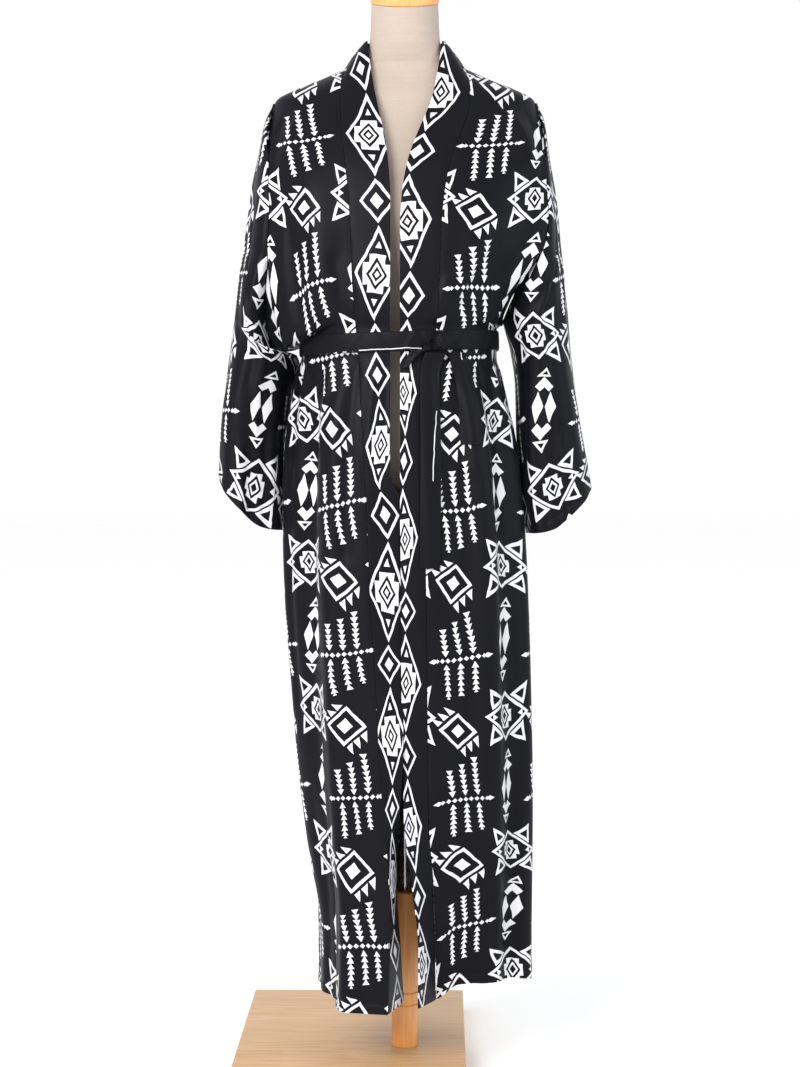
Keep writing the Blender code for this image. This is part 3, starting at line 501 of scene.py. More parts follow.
def unit(vectors):
    """Vectors of length 1 with the same directions."""
    return vectors / np.maximum(np.linalg.norm(vectors, axis=-1, keepdims=True), 1e-12)


def swell(angle, height):
    """How much fuller than an ellipse the coat is between its front and its side."""
    return 1 + ROUNDNESS * ease((ROUND_TOP - height) / ROUND_FADE) * np.sin(2 * angle) ** 2


def armhole_angle(height):
    return np.radians(COAT_AT["armhole"](height))


def half_width(side, height):
    seam = armhole_angle(height)
    return COAT_AT[SIDES[side]](height) / (np.sin(seam) * swell(seam, height))


def angle_at(side, x, height):
    """The angle at which the cloth on one side lies x out from the middle."""
    angle = 0.0
    for _ in range(8):
        angle = np.arcsin(np.clip(x / half_width(side, height) / swell(angle, height), -1, 1))
    return angle


# Each set of folds, with the heights of its end at the belt and of its far end
BELT_FOOT = 1.04
BELT_HEAD = 1.08
BODICE_END = 1.36
ALL_FOLDS = (
    (each_row(FOLDS), BELT_FOOT, HEM),
    (each_row(BODICE_FOLDS), BELT_HEAD, BODICE_END),
    (each_row(SKIRT_CREASES), BELT_FOOT, HEM),
    (each_row(BODICE_CREASES), BELT_HEAD, BODICE_END),
)


def fold_depth(side, angle, height):
    """How far the folds and creases lift the cloth or sink it."""
    around = np.degrees(side * angle)
    total = np.zeros(np.broadcast(angle, height).shape)
    for folds, near, far in ALL_FOLDS:
        t = np.clip((height - near) / (far - near), 0, 1)
        for fold in folds:
            middle = fold["belt_angle"] + (fold["far_angle"] - fold["belt_angle"]) * t
            reach = ease((height - fold["low"]) / fold["fade"])
            reach = reach * ease((fold["high"] - height) / fold["fade"])
            total = total + fold["depth"] * reach * hump(nearest_turn(around - middle), fold["width"])
    return total


def cloth(side, angle, height):
    """A point on the outside of the draped coat."""
    angle, height = np.broadcast_arrays(np.asarray(angle, float), np.asarray(height, float))
    wide = half_width(side, height)
    front = COAT_AT["front_" + SIDES[side]](height)
    deep = np.where(angle < math.pi / 2, front, COAT_AT["back"](height))
    full = swell(angle, height)
    normal_x = deep * np.sin(angle)
    normal_y = -wide * np.cos(angle)
    length = np.hypot(normal_x, normal_y)
    fold = fold_depth(side, angle, height)
    bag = ease((np.abs(np.sin(angle)) - 0.5) / 0.45)
    low = 1 - np.clip((height - HEM) / HEM_LIFT_REACH, 0, 1)
    x = side * (wide * np.sin(angle) * full + fold * normal_x / length)
    y = -deep * np.cos(angle) * full + fold * normal_y / length
    z = height - bag * COAT_AT["droop_" + SIDES[side]](height)
    z = z + LIFT_AT(np.degrees(side * angle)) * ease(low)
    return np.stack([x, y, z], -1)


def front(side, across, height):
    """A point of a front: across is 0 at the free edge, 1 at the band seam, 2 at the side."""
    across, height = np.broadcast_arrays(np.asarray(across, float), np.asarray(height, float))
    name = SIDES[side]
    edge = angle_at(side, BAND_AT["edge_" + name](height), height)
    seam = angle_at(side, BAND_AT["seam_" + name](height), height)
    outer = armhole_angle(height)
    angle = np.where(across < 1, edge + (seam - edge) * across, seam + (outer - seam) * (across - 1))
    point = cloth(side, angle, height)
    free = np.clip(1 - across, 0, 1)
    point[..., 1] += free * BAND_AT["turn_" + name](height)
    point[..., 2] += free * BAND_AT["rise"](height)
    return point


def length_along(grid, axis):
    """Distance along the rows or the columns of a grid of points, from the first one."""
    steps = np.linalg.norm(np.diff(grid, axis=axis), axis=2)
    start = np.zeros_like(np.take(steps, [0], axis=axis))
    return np.concatenate([start, np.cumsum(steps, axis=axis)], axis=axis)


print("waist", [round(float(half_width(s, 1.06)), 3) for s in SIDES])

# %% [markdown]
# ## From a grid of points to a piece of cloth
#
# A panel is laid out as a grid: rows go up the cloth and columns go across it. The
# same grid carries the cut, that is where each point lay on the flat cloth in metres,
# and the print follows it. Solidify then gives the sheet its thickness inwards, and
# its inner side takes the second finish, the reverse of the print with painted light
# through the cloth. Mesh code makes the sheets, because a draped surface with so many
# uneven folds has no primitive to start from.

# %% The grid maker
CLOTH_THICK = 0.0012
FORM = ["form_torso"]


def select_only(thing):
    bpy.ops.object.select_all(action="DESELECT")
    thing.select_set(True)
    bpy.context.view_layer.objects.active = thing


def finish_modifiers(thing):
    """Applies every modifier of a piece, in order."""
    select_only(thing)
    for name in [modifier.name for modifier in thing.modifiers]:
        bpy.ops.object.modifier_apply(modifier=name)


def soften(thing, title, width, segments, degrees):
    """Adds a bevel along every edge that is sharper than an angle."""
    rim = thing.modifiers.new(title, "BEVEL")
    rim.width = width
    rim.segments = segments
    rim.limit_method = "ANGLE"
    rim.angle_limit = math.radians(degrees)


def new_piece(name, points, faces, finishes, flat=None):
    """Makes a mesh piece. flat says where each face's corners lay on the flat cloth."""
    mesh = bpy.data.meshes.new(name)
    mesh.from_pydata(points.reshape(-1, 3).tolist(), [], faces)
    if flat is not None:
        layer = mesh.uv_layers.new(name="cut")
        layer.data.foreach_set("uv", flat.reshape(-1).astype(np.float32))
    for finish in finishes:
        mesh.materials.append(finish)
    mesh.shade_smooth()
    thing = bpy.data.objects.new(name, mesh)
    bpy.context.scene.collection.objects.link(thing)
    return thing


def quads_of(index, cut, turned=False):
    """The faces between a grid's numbered points, and their corners' places in the cut."""
    corners = [(0, 0), (0, 1), (1, 1), (1, 0)]
    if turned:
        corners.reverse()
    rows, columns = index.shape[0] - 1, index.shape[1] - 1
    quads = np.stack([index[r : rows + r, c : columns + c] for r, c in corners], -1)
    flat = np.stack([cut[r : rows + r, c : columns + c] for r, c in corners], -2)
    return quads.reshape(-1, 4).tolist(), flat


def ring_faces(rows, sides):
    """The faces between closed rings of points, and a flat one at each end."""
    faces = []
    for r in range(rows - 1):
        for s in range(sides):
            n = (s + 1) % sides
            faces.append((r * sides + s, r * sides + n, (r + 1) * sides + n, (r + 1) * sides + s))
    faces.append(tuple(reversed(range(sides))))
    faces.append(tuple(range((rows - 1) * sides, rows * sides)))
    return faces


def add_sheet(name, grid, cut, finishes, thickness, closed_rows=0, turned=False, round_edge=0.0):
    """Makes one sheet of cloth. The first closed_rows rows meet themselves, as a tube does."""
    rows, columns = grid.shape[:2]
    index = np.arange(rows * columns).reshape(rows, columns)
    index[:closed_rows, -1] = index[:closed_rows, 0]
    used, compact = np.unique(index, return_inverse=True)
    quads, flat = quads_of(compact.reshape(rows, columns), cut, turned)
    sheet = new_piece(name, grid.reshape(-1, 3)[used], quads, finishes, flat)
    wall = sheet.modifiers.new("thickness", "SOLIDIFY")
    wall.thickness = thickness
    wall.offset = -1
    wall.use_quality_normals = True
    wall.material_offset = 1 if len(finishes) > 1 else 0
    if round_edge:
        soften(sheet, "soft rim", round_edge, 2, 60)
    finish_modifiers(sheet)
    sheet.data.set_sharp_from_angle(angle=math.radians(50))
    return sheet


def outward_normals(grid, turned=False):
    """Unit normals of a grid, pointing the way that its sheet's outer side faces."""
    normals = unit(np.cross(np.gradient(grid, axis=1), np.gradient(grid, axis=0)))
    return -normals if turned else normals


def raised(grid, relief, turned=False):
    """A grid with its points moved outwards by a relief."""
    return grid + outward_normals(grid, turned) * relief[..., None]


def height_up(grid, column):
    """Distance up one column of a grid, given to every point of its row."""
    return np.broadcast_to(length_along(grid[:, [column]], 0), grid.shape[:2])


def measured_area(grid):
    """The area of a grid of points."""
    a = grid[1:, 1:] - grid[:-1, :-1]
    b = grid[1:, :-1] - grid[:-1, 1:]
    return round(float(np.linalg.norm(np.cross(a, b), axis=2).sum() / 2), 3)


def flat_size(across, up, digits=(2, 2)):
    """Width and length of a cut: the longest of each, with one last digit to spare."""
    longest = (float(across.max()), float(up.max()))
    return tuple(round(length, d) + 10**-d for length, d in zip(longest, digits))


def seat(thing, node):
    """Lets a finished piece ride on the part's one body and take its solid's place."""
    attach(thing, "root")
    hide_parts(node)
    triangles = sum(len(face.vertices) - 2 for face in thing.data.polygons)
    low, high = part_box(node)
    solid = [round(high[i] - low[i], 4) for i in range(3)]
    piece = [round(v, 4) for v in thing.dimensions]
    print(thing.name, "triangles", triangles, "solid", solid, "piece", piece)


def declare(sheet, node, cut_size, area):
    """Seats a finished sheet and says how it was cut."""
    seat(sheet, node)
    print(sheet.name, "cut", cut_size, "area", area)


def cloth_piece(node, grid, cut, finishes, thickness, size, held, rests_on, **shape):
    sheet = add_sheet(f"{node}_cloth", grid, cut, finishes, thickness, **shape)
    declare(sheet, node, size, measured_area(grid))


# %% [markdown]
# ## Wires: shader maths that reads like arithmetic
#
# A procedural print is a long sum of small questions, such as how far a point is from
# the side of a triangle. Written out as nodes by hand it would fill pages. A wire is
# one socket of a material, and adding or comparing two wires adds the Math node that
# does it. A finish is a material with one method that makes any other node.

# %% The finish and the wire
class Wire:
    """One output socket of a finish, with Python's operators for its maths."""

    def __init__(self, finish, socket):
        self.finish = finish
        self.socket = socket

    def math(self, operation, *others):
        values = dict(enumerate((self, *others)))
        return self.finish.add("ShaderNodeMath", {"operation": operation}, values)

    def __add__(self, other):
        return self.math("ADD", other)

    def __sub__(self, other):
        return self.math("SUBTRACT", other)

    def __rsub__(self, other):
        return (self * -1.0) + other

    def __mul__(self, other):
        return self.math("MULTIPLY", other)

    def __neg__(self):
        return self.math("MULTIPLY", -1.0)

    def __abs__(self):
        return self.math("ABSOLUTE")

    def __lt__(self, other):
        return self.math("LESS_THAN", other)

    def low(self, other):
        return self.math("MINIMUM", other)

    def high(self, other):
        return self.math("MAXIMUM", other)

    def wrap(self, period):
        """The same place in a repeat that runs from minus half a period to plus half."""
        return self.math("WRAP", period / 2, -period / 2)


class Finish:
    """A material, its Principled shader and the means to add nodes to it."""

    def __init__(self, name, colour, roughness, metallic=0.0):
        self.material = bpy.data.materials.new(name)
        self.material.use_nodes = True
        self.tree = self.material.node_tree
        self.shader = self.tree.nodes["Principled BSDF"]
        self.set({"Base Color": (*colour, 1.0), "Roughness": roughness, "Metallic": metallic})

    def set(self, values):
        """Sets or links sockets of the shader."""
        for name, value in values.items():
            self.feed(self.shader.inputs[name], value)

    def feed(self, socket, value):
        if isinstance(value, Wire):
            self.tree.links.new(value.socket, socket)
        else:
            socket.default_value = value

    def add(self, kind, settings, values, output=0):
        """Makes a node: its type, its settings, then the values or wires of its sockets."""
        node = self.tree.nodes.new(kind)
        for key, value in settings.items():
            setattr(node, key, value)
        for key, value in values.items():
            self.feed(node.inputs[key], value)
        return Wire(self, node.outputs[output])

    def vector(self, operation, values, output=0):
        return self.add("ShaderNodeVectorMath", {"operation": operation}, values, output)

    def place(self):
        """Where a point lies on the object itself."""
        return self.add("ShaderNodeTexCoord", {}, {}, 3)

    def split(self, place):
        """The three parts of a place."""
        parts = self.tree.nodes.new("ShaderNodeSeparateXYZ")
        self.feed(parts.inputs[0], place)
        return [Wire(self, socket) for socket in parts.outputs]

    def blend(self, share, first, second):
        """Mixes two colours, each a wire or three numbers."""
        first = first if isinstance(first, Wire) else (*first, 1.0)
        second = second if isinstance(second, Wire) else (*second, 1.0)
        settings = {"data_type": "RGBA"}
        return self.add("ShaderNodeMix", settings, {0: share, 6: first, 7: second}, 2)

    def noise(self, place, scale, detail=2.0, stretch=(1, 1, 1), output=0):
        """Soft noise on a place, with its own stretch."""
        settings = {"vector_type": "POINT"}
        mapped = self.add("ShaderNodeMapping", settings, {"Vector": place, "Scale": stretch})
        values = {"Vector": mapped, "Scale": scale, "Detail": detail}
        return self.add("ShaderNodeTexNoise", {}, values, output)

    def bump(self, height, strength, distance):
        """Feeds a height to the shader's normal."""
        values = {"Strength": strength, "Distance": distance, "Height": height}
        self.set({"Normal": self.add("ShaderNodeBump", {}, values)})


print("wires ready")

# %% [markdown]
# ## The print
#
# The cloth carries a common kind of geometric ornament: stacked triangles on a string
# of small diamonds, nested squares with combs, wide pointed lozenges and narrow paired
# ones. It is charted here as one small repeat of its own, 16 by 21 cm, from
# straight-sided shapes. Each shape is a few straight lines, and a point is inside it
# where it is behind all of them. A little soft noise bends the lines by a millimetre,
# because such prints look drawn and not ruled. The edges stay crisp at any distance,
# because nothing here is a picture.

# %% Shapes with straight sides
def spot(x, y):
    """A point (x, y, 1), on which one dot product gives the distance from a line."""
    return x.finish.add("ShaderNodeCombineXYZ", {}, {0: x, 1: y, 2: 1.0})


def polygon(place, corners):
    """Distance to a convex shape's edge, below zero inside. Corners run anticlockwise."""
    total = None
    for (x0, y0), (x1, y1) in zip(corners, corners[1:] + corners[:1]):
        length = math.hypot(x1 - x0, y1 - y0)
        nx, ny = (y1 - y0) / length, (x0 - x1) / length
        line = (nx, ny, -(nx * x0 + ny * y0))
        away = place.finish.vector("DOT_PRODUCT", {0: place, 1: line}, 1)
        total = away if total is None else total.high(away)
    return total


def lozenge(x, y, wide, tall):
    """Distance to a lozenge's edge, below zero inside, from its two half sizes."""
    scale = wide * tall / math.hypot(wide, tall)
    return (abs(x) * (1 / wide) + abs(y) * (1 / tall) - 1.0) * scale


def ring(distance, stroke):
    """A stroke that lies inside a shape's edge."""
    return distance.high(-(distance + stroke))


def chain(x, away, half, period, start, count):
    """Stacked triangles that point back to a line, from their distances to it."""
    share = ((away - start) * (1 / period)).math("FRACT")
    return (abs(x) - (share * half + 0.0004)).high(start - away).high(away - count * period - start)


print("shapes ready")

# %% The four figures of the repeat
STROKE = 0.0041


def string_of_feathers(x, y):
    """Three chains of triangles on each side of a string of small diamonds."""
    y = y - x * 0.13
    beads = lozenge(x.wrap(0.0086), y, 0.0038, 0.0036).high(abs(x) - 0.0344)
    ends = lozenge(abs(x) - 0.0395, y, 0.0076, 0.0036)
    lean = x + y * 0.09
    column = lean.wrap(0.0200)
    longer = (lean - column) * 50.0
    above = chain(column, y, 0.0048, 0.0080, 0.0062, longer + 6.0)
    below = chain(column, -y, 0.0044, 0.0078, 0.0062, 6.0 - longer * 0.5)
    return beads.low(ends).low(above.low(below).high(abs(lean) - 0.0300))


def nested_square(x, y):
    """A tilted square in a ring, with a comb of three spikes on two sides."""
    tilt = math.radians(38)
    cos, sin = math.cos(tilt), math.sin(tilt)
    a = x * cos + y * sin
    b = y * cos - x * sin
    box = abs(a).high(abs(b))
    solid = box - 0.0074
    frame_line = ring(box - 0.0198, STROKE)
    rise = (abs(b) - 0.0238) * (1 / 0.0130)
    lean = a + rise * 0.0050
    spike = abs((lean * (1 / 0.0124)).wrap(1.0)) - (1.0 - rise) * 0.42
    comb = (spike * 0.0124).high(0.0238 - abs(b)).high(abs(lean) - 0.0184)
    return solid.low(frame_line).low(comb)


def pointed_lozenge(x, y):
    """A wide outlined lozenge with four hollow fins, holding a stepped plaque."""
    rhomb = lozenge(x, y, 0.0470, 0.0350)
    outline = ring(rhomb, STROKE)
    fold = spot(abs(x), abs(y))
    fin = polygon(fold, [(0.0130, 0.0280), (0.0360, 0.0110), (0.0410, 0.0420)])
    hollow = polygon(fold, [(0.0215, 0.0275), (0.0335, 0.0190), (0.0360, 0.0335)])
    fin = fin.high(-hollow)
    corner = polygon(fold, [(0.0270, 0.0), (0.0350, -0.0052), (0.0350, 0.0052)])
    steps = (abs(x) - 0.0105).high(abs(y) - 0.0165).low((abs(x) - 0.0165).high(abs(y) - 0.0085))
    eye = lozenge(x, y, 0.0126, 0.0158)
    plaque = steps.high(-eye)
    inner = ring(lozenge(x, y, 0.0086, 0.0108), 0.0027)
    return outline.low(fin).low(corner).low(plaque).low(inner)


def paired_lozenges(x, y):
    """Two tall lozenges between stepped squares and small hollow triangles."""
    lean = x - y * 0.16
    tall = lozenge(abs(lean) - 0.0102, y, 0.0088, 0.0215)
    squares = lozenge(abs(lean) - 0.0074, abs(y) - 0.0285, 0.0080, 0.0068)
    squares = squares.low(lozenge(lean, abs(y) - 0.0345, 0.0080, 0.0068))
    fold = spot(lean, abs(y))
    cap = polygon(fold, [(-0.0125, 0.0420), (0.0125, 0.0420), (0.0020, 0.0560)])
    hole = polygon(fold, [(-0.0050, 0.0450), (0.0070, 0.0450), (0.0020, 0.0510)])
    return tall.low(squares).low(cap.high(-hole))


print("figures ready")

# %% [markdown]
# ## The cloth's finish
#
# The ground is a black with a little blue in it, woven smooth with a faint crepe, so
# it takes a soft sheen on the folds that face the light. The print is a white paste
# that lies on top: it is a touch rougher and lets a trace of the dark through. On the
# reverse the print shows as a faint grey, and the reverse, its black ground above all,
# is painted several times lighter than the face: painted light, for light shining
# through the thin cloth into the shaded inside. The neckband is a strip cut along the
# ornament, so it has a chart of its own.

# %% The printed cloth
REPEAT = (0.164, 0.208)
COLUMN_DROP = 0.020
BAND_REPEAT = 0.204
GROUND = (0.0044, 0.0045, 0.0068)
# Darker and lighter patches of the ground and of the paste, on the face and the reverse
FACE_COLOURS = (
    ((0.0022, 0.0024, 0.0044), (0.0044, 0.0043, 0.0066)),
    ((0.52, 0.515, 0.545), (0.64, 0.635, 0.660)),
)
# The reverse: its faint grey print is real, but its ground is painted several times lighter than the
# face's, painted light for light shining through the thin cloth into the shaded inside.
REVERSE_PRINT_AND_PAINTED_LIGHT = (
    ((0.022, 0.0215, 0.0240), (0.032, 0.0310, 0.0335)),
    ((0.170, 0.165, 0.172), (0.250, 0.242, 0.250)),
)
# Scale and reach of the soft noise that bends the drawn lines
WOBBLES = ((46.0, 0.0040), (6.5, 0.030))
THREADS = 2100.0


def cut_place(finish):
    """Where a point lay on the flat cloth, bent as if drawn by hand and pulled askew."""
    place = finish.add("ShaderNodeUVMap", {"uv_map": "cut"}, {})
    bent = place
    for scale, reach in WOBBLES:
        wobble = finish.noise(place, scale, 1.0, output=1)
        centred = finish.vector("SUBTRACT", {0: wobble, 1: (0.5, 0.5, 0.5)})
        small = finish.vector("SCALE", {0: centred, "Scale": reach})
        bent = finish.vector("ADD", {0: bent, 1: small})
    u, v, _ = finish.split(bent)
    return place, u, v


def allover_marks(u, v):
    """Distance to the repeat's figures: two columns of two figures each."""
    wide, tall = REPEAT
    first = (u - wide / 4).wrap(wide)
    second = (u - wide * 3 / 4).wrap(wide)
    low = v.wrap(tall)
    high = (v - tall / 2).wrap(tall)
    drop = (v - COLUMN_DROP - tall / 2).wrap(tall)
    lift = (v - COLUMN_DROP).wrap(tall)
    marks = string_of_feathers(first, low)
    marks = marks.low(nested_square(first + 0.006, high))
    marks = marks.low(pointed_lozenge(second, drop))
    return marks.low(paired_lozenges(second, lift))


def allover_print(u, v):
    """White where the repeat is printed."""
    return allover_marks(u, v) < 0.0


def band_print(u, v):
    """White where the neckband's own strip is printed."""
    x = u
    low = v.wrap(BAND_REPEAT)
    high = (v - BAND_REPEAT / 2).wrap(BAND_REPEAT)
    square = ring(lozenge(x, low, 0.0250, 0.0330), STROKE)
    square = square.low(lozenge(x, low, 0.0092, 0.0125))
    long = ring(lozenge(x, high, 0.0335, 0.0660), STROKE)
    steps = (abs(x) - 0.0122).high(abs(high) - 0.0262).low((abs(x) - 0.0206).high(abs(high) - 0.0150))
    plaque = steps.high(-lozenge(x, high, 0.0158, 0.0225))
    inner = ring(lozenge(x, high, 0.0113, 0.0161), 0.0032)
    dot = lozenge(x, high, 0.0037, 0.0053)
    fold = spot(x, abs(high))
    corner = polygon(fold, [(-0.0046, 0.0345), (0.0046, 0.0345), (0.0, 0.0445)])
    return square.low(long).low(plaque).low(inner).low(dot).low(corner) < 0.0


def printed_cloth(name, chart, colours=FACE_COLOURS):
    """One finish of the coat's cloth: its chart and its colours."""
    finish = Finish(name, GROUND, 0.52)
    place, u, v = cut_place(finish)
    mask = chart(u, v)
    patches = finish.noise(place, 9.0, 3.0)
    ground, paste = [finish.blend(patches, *pair) for pair in colours]
    sheen = {"Sheen Weight": 0.028, "Sheen Roughness": 0.40, "Sheen Tint": (0.72, 0.82, 1.0, 1.0)}
    finish.set({"Base Color": finish.blend(mask, ground, paste), "Roughness": mask * 0.14 + 0.46})
    finish.set({"Specular IOR Level": 0.085, **sheen})
    weave = (u * THREADS).math("SINE") * (v * THREADS).math("SINE")
    crepe = finish.noise(place, 900.0, 2.0)
    finish.bump(weave * 0.35 + crepe + mask * 0.5, 0.22, 0.0003)
    return finish.material


CLOTH_FINISH = [printed_cloth("printed cloth", allover_print)]
# The inner side's finish, painted lighter than the face: painted light through the thin cloth.
CLOTH_FINISH.append(printed_cloth("printed cloth reverse painted lighter", allover_print, REVERSE_PRINT_AND_PAINTED_LIGHT))
BAND_FINISH = [printed_cloth("neckband cloth", band_print)]
print("finishes", [finish.name for finish in CLOTH_FINISH + BAND_FINISH])

# %% [markdown]
# ## The front panels
#
# Each front is one length of cloth from the hem to the shoulder, sewn to the neckband
# on one side and to the back and the sleeve on the other. Its rows are closer at the
# hem, which is turned up and stitched: there the cloth is a little thicker, with a
# shallow groove where the stitches pull it in. The seams pull it in as well.

# %% Fronts
PRINT_RISE = 0.095
PRINT_ACROSS = {-1: -0.023, 1: 0.096}
PRINT_SLIDE = {-1: 0.022, 1: 0.0}
HEM_DEPTH = 0.014
HEM_PUFF = 0.0005
SEAM_DIP = 0.0006
SEAM_SOFT = 0.004
ROW_STEP = 0.004
# How much of the print is drawn up behind the belt, on the coat and on its neckband
TUCKED = 0.101
BAND_TUCKED = -0.040
TUCK_START = 1.051
TUCK_REACH = 0.017
STITCH_DEPTH = 0.0005
STITCH_SOFT = 0.0015

hem_rows = HEM + np.array([0.0, 0.002, 0.005, 0.008, 0.011, 0.013, 0.0145, 0.016, 0.019])
open_rows = np.arange(HEM + 0.023, 1.0405, ROW_STEP)
waist_rows = np.arange(1.043, 1.140, 0.0028)
upper_rows = np.append(np.arange(1.143, NECK_SEAM - 0.002, ROW_STEP), NECK_SEAM)
COAT_ROWS = np.concatenate([hem_rows, open_rows, waist_rows, upper_rows])


def tucked_in(heights, length):
    """Cloth that is drawn up behind the belt, so that the print jumps there."""
    return length * ease((heights - TUCK_START) / TUCK_REACH)


def hem_relief(rise):
    """How the turned-up hem stands out, and how its stitches pull it in."""
    puff = HEM_PUFF * ease((HEM_DEPTH - rise) / 0.003)
    return puff - STITCH_DEPTH * hump(rise - HEM_DEPTH, STITCH_SOFT)


def seam_relief(distance):
    """How the cloth sinks beside a seam."""
    return -SEAM_DIP * hump(distance, SEAM_SOFT)


def panel_relief(across, heights):
    """The relief of a panel that has a seam on either side and a hem."""
    return seam_relief(across) + seam_relief(across[:, -1:] - across) + hem_relief(heights - HEM)


def make_front(side):
    heights = COAT_ROWS[:, None]
    part = np.linspace(0, 1, 77)[None, :]
    gap = SEAM / 2 / length_along(front(side, 1 + part, heights), 1)[:, -1:]
    grid = front(side, 1 + gap + part * (1 - 2 * gap), heights)
    across = length_along(grid, 1)
    grid = raised(grid, panel_relief(across, heights), turned=side < 0)
    up = height_up(grid, 0)
    printed = up + tucked_in(heights, TUCKED) - PRINT_RISE
    start = PRINT_ACROSS[side] + tucked_in(heights, PRINT_SLIDE[side])
    cut = np.stack([side * (across + BAND_WIDTH) + start, printed], -1)
    node = f"front_{SIDES[side]}"
    size = flat_size(across, up)
    cloth_piece(node, grid, cut, CLOTH_FINISH, CLOTH_THICK, size, "hung", FORM, turned=side < 0)


for side in SIDES:
    make_front(side)

# %% [markdown]
# ## The back panel
#
# The back is cut in one piece from side seam to side seam and hangs from the shoulders.
# It isn't seen in the picture, so its folds are placed as on the front: gathered under
# the belt, blousing a little above it, falling in uneven flutes to the hem.

# %% Back
def make_back():
    heights = COAT_ROWS[:, None]
    start = math.pi - armhole_angle(heights)
    first = start + SEAM / 2 / COAT_AT["back"](heights)
    part = np.linspace(0, 1, 76)[None, :]
    angles = first + (math.pi - first) * part
    left = cloth(-1, angles, heights)
    right = cloth(1, angles, heights)[:, ::-1]
    grid = np.concatenate([left, right[:, 1:]], axis=1)
    across = length_along(grid, 1)
    grid = raised(grid, panel_relief(across, heights), turned=True)
    middle = len(part[0]) - 1
    up = height_up(grid, middle)
    printed = up + tucked_in(heights, TUCKED) - PRINT_RISE
    cut = np.stack([across - across[:, [middle]], printed], -1)
    size = flat_size(across, up)
    cloth_piece("back", grid, cut, CLOTH_FINISH, CLOTH_THICK, size, "hung", FORM, turned=True)


make_back()

# %% [markdown]
# ## The neckband
#
# The neckband is a strip folded lengthwise, so it is thicker than the panels and has a
# soft rounded free edge. It runs up one front, round the back of the neck and down the
# other. It is made as three pieces, as in the solids, which meet at the neck.

# %% Neckband
BAND_THICK = 0.0022
BAND_RISE = {-1: 0.085, 1: 0.165}
BAND_MIDDLE = {-1: 0.0205, 1: 0.0105}
BAND_SLIDE = {-1: 0.0085, 1: 0.0}
BAND_EDGE = 0.0007
EDGE_STITCH = 0.004
# The neckband's free edge round the back of the neck
TOP_WIDTH = 0.058
TOP_BACK = 0.066
TOP_FRONT = 0.050
TOP_Z = 1.495
TOP_RISE = 0.008
NECK_PRINT_FOOT = 0.030
NECK_PRINT_REACH = 0.058


def make_band(side):
    heights = COAT_ROWS[:, None]
    part = np.linspace(0, 1, 17)[None, :]
    width = length_along(front(side, part, heights), 1)[:, -1:]
    grid = front(side, part * (1 - SEAM / 2 / width), heights)
    across = length_along(grid, 1)
    relief = seam_relief(across[:, -1:] - across) + hem_relief(heights - HEM) * 0.5
    relief = relief - STITCH_DEPTH * hump(across - EDGE_STITCH, 0.0016)
    grid = raised(grid, relief, turned=side < 0)
    up = height_up(grid, -1)
    printed = up + tucked_in(heights, BAND_TUCKED) - BAND_RISE[side]
    middle = BAND_MIDDLE[side] + BAND_SLIDE[side] * ease((0.95 - heights) / 0.12)
    cut = np.stack([across / across[:, -1:] * BAND_WIDTH - middle, printed], -1)
    shape = {"turned": side < 0, "round_edge": BAND_EDGE}
    size = flat_size(across, up, (3, 2))
    cloth_piece(f"band_{SIDES[side]}", grid, cut, BAND_FINISH, BAND_THICK, size, "folded", FORM, **shape)
    return float(up.max())


def neck_band_grid(share, rises):
    """Points of the neckband round the back of the neck, from its foot to its free edge."""
    reach = math.pi - NECK_END - NECK_JOIN / TOP_BACK
    turn = math.pi - reach * np.abs(share)
    side = np.where(share < 0, -1, 1)
    sided = [cloth(one, turn, NECK_SEAM) for one in SIDES]
    foot = np.where(share[:, None] < 0, sided[0], sided[1]) + np.array([0, 0, SEAM])
    deep = np.where(turn > math.pi / 2, TOP_BACK, TOP_FRONT)
    head_z = TOP_Z + TOP_RISE * ease(1 - np.abs(share))
    head = np.stack([side * TOP_WIDTH * np.sin(turn), -deep * np.cos(turn), head_z], -1)
    return foot + (head - foot) * rises[:, None, None]


def make_neck_band(start):
    """The third piece, whose print goes on where the left band's ends."""
    share = np.linspace(-1, 1, 81)
    rises = np.linspace(0, 1, 15)
    rise = rises[:, None] * np.ones(len(share))
    grid = raised(neck_band_grid(share, rises), 0.0016 * np.sin(np.pi * rise) - 0.0004, turned=True)
    along = length_along(grid, 1)
    cut = np.stack([NECK_PRINT_FOOT - rise * NECK_PRINT_REACH, along + start], -1)
    shape = {"turned": True, "round_edge": BAND_EDGE}
    size = flat_size(length_along(grid, 0), along, (3, 2))
    cloth_piece("band_neck", grid, cut, BAND_FINISH, BAND_THICK, size, "folded", FORM, **shape)


band_length = [make_band(side) for side in SIDES]
make_neck_band(band_length[0])

# %% [markdown]
# ## The sleeves
#
# A sleeve is one wide piece, folded over the top and closed by a seam under the arm.
# Below the underarm its rows are closed rings, and above it they open towards the coat
# and end at the armhole seam. With no arm inside, it falls flat and creases softly
# along its length. The cuff is hemmed.

# %% Sleeves
SLEEVE_CREASES = table(
    """
    round_at far low high depth width
    0.06 0.08 -1.0 0.42 0.0030 0.018
    0.11 0.16 0.20 1.10 -0.0032 0.018
    0.19 0.17 -1.0 0.65 -0.0036 0.020
    0.23 0.27 0.35 1.30 0.0036 0.022
    0.30 0.31 -1.0 0.55 0.0032 0.018
    0.33 0.24 0.60 1.55 -0.0030 0.024
    0.42 0.40 -1.0 0.80 0.0028 0.018
    0.44 0.37 0.75 1.70 0.0026 0.022
    0.52 0.53 -1.0 0.50 -0.0026 0.018
    0.57 0.62 0.30 1.30 0.0032 0.022
    0.66 0.64 -1.0 0.60 0.0036 0.020
    0.70 0.75 0.45 1.50 -0.0034 0.022
    0.81 0.79 -1.0 0.55 -0.0034 0.018
    0.84 0.77 0.55 1.30 0.0034 0.020
    0.93 0.90 0.10 0.90 0.0030 0.018
    """
)
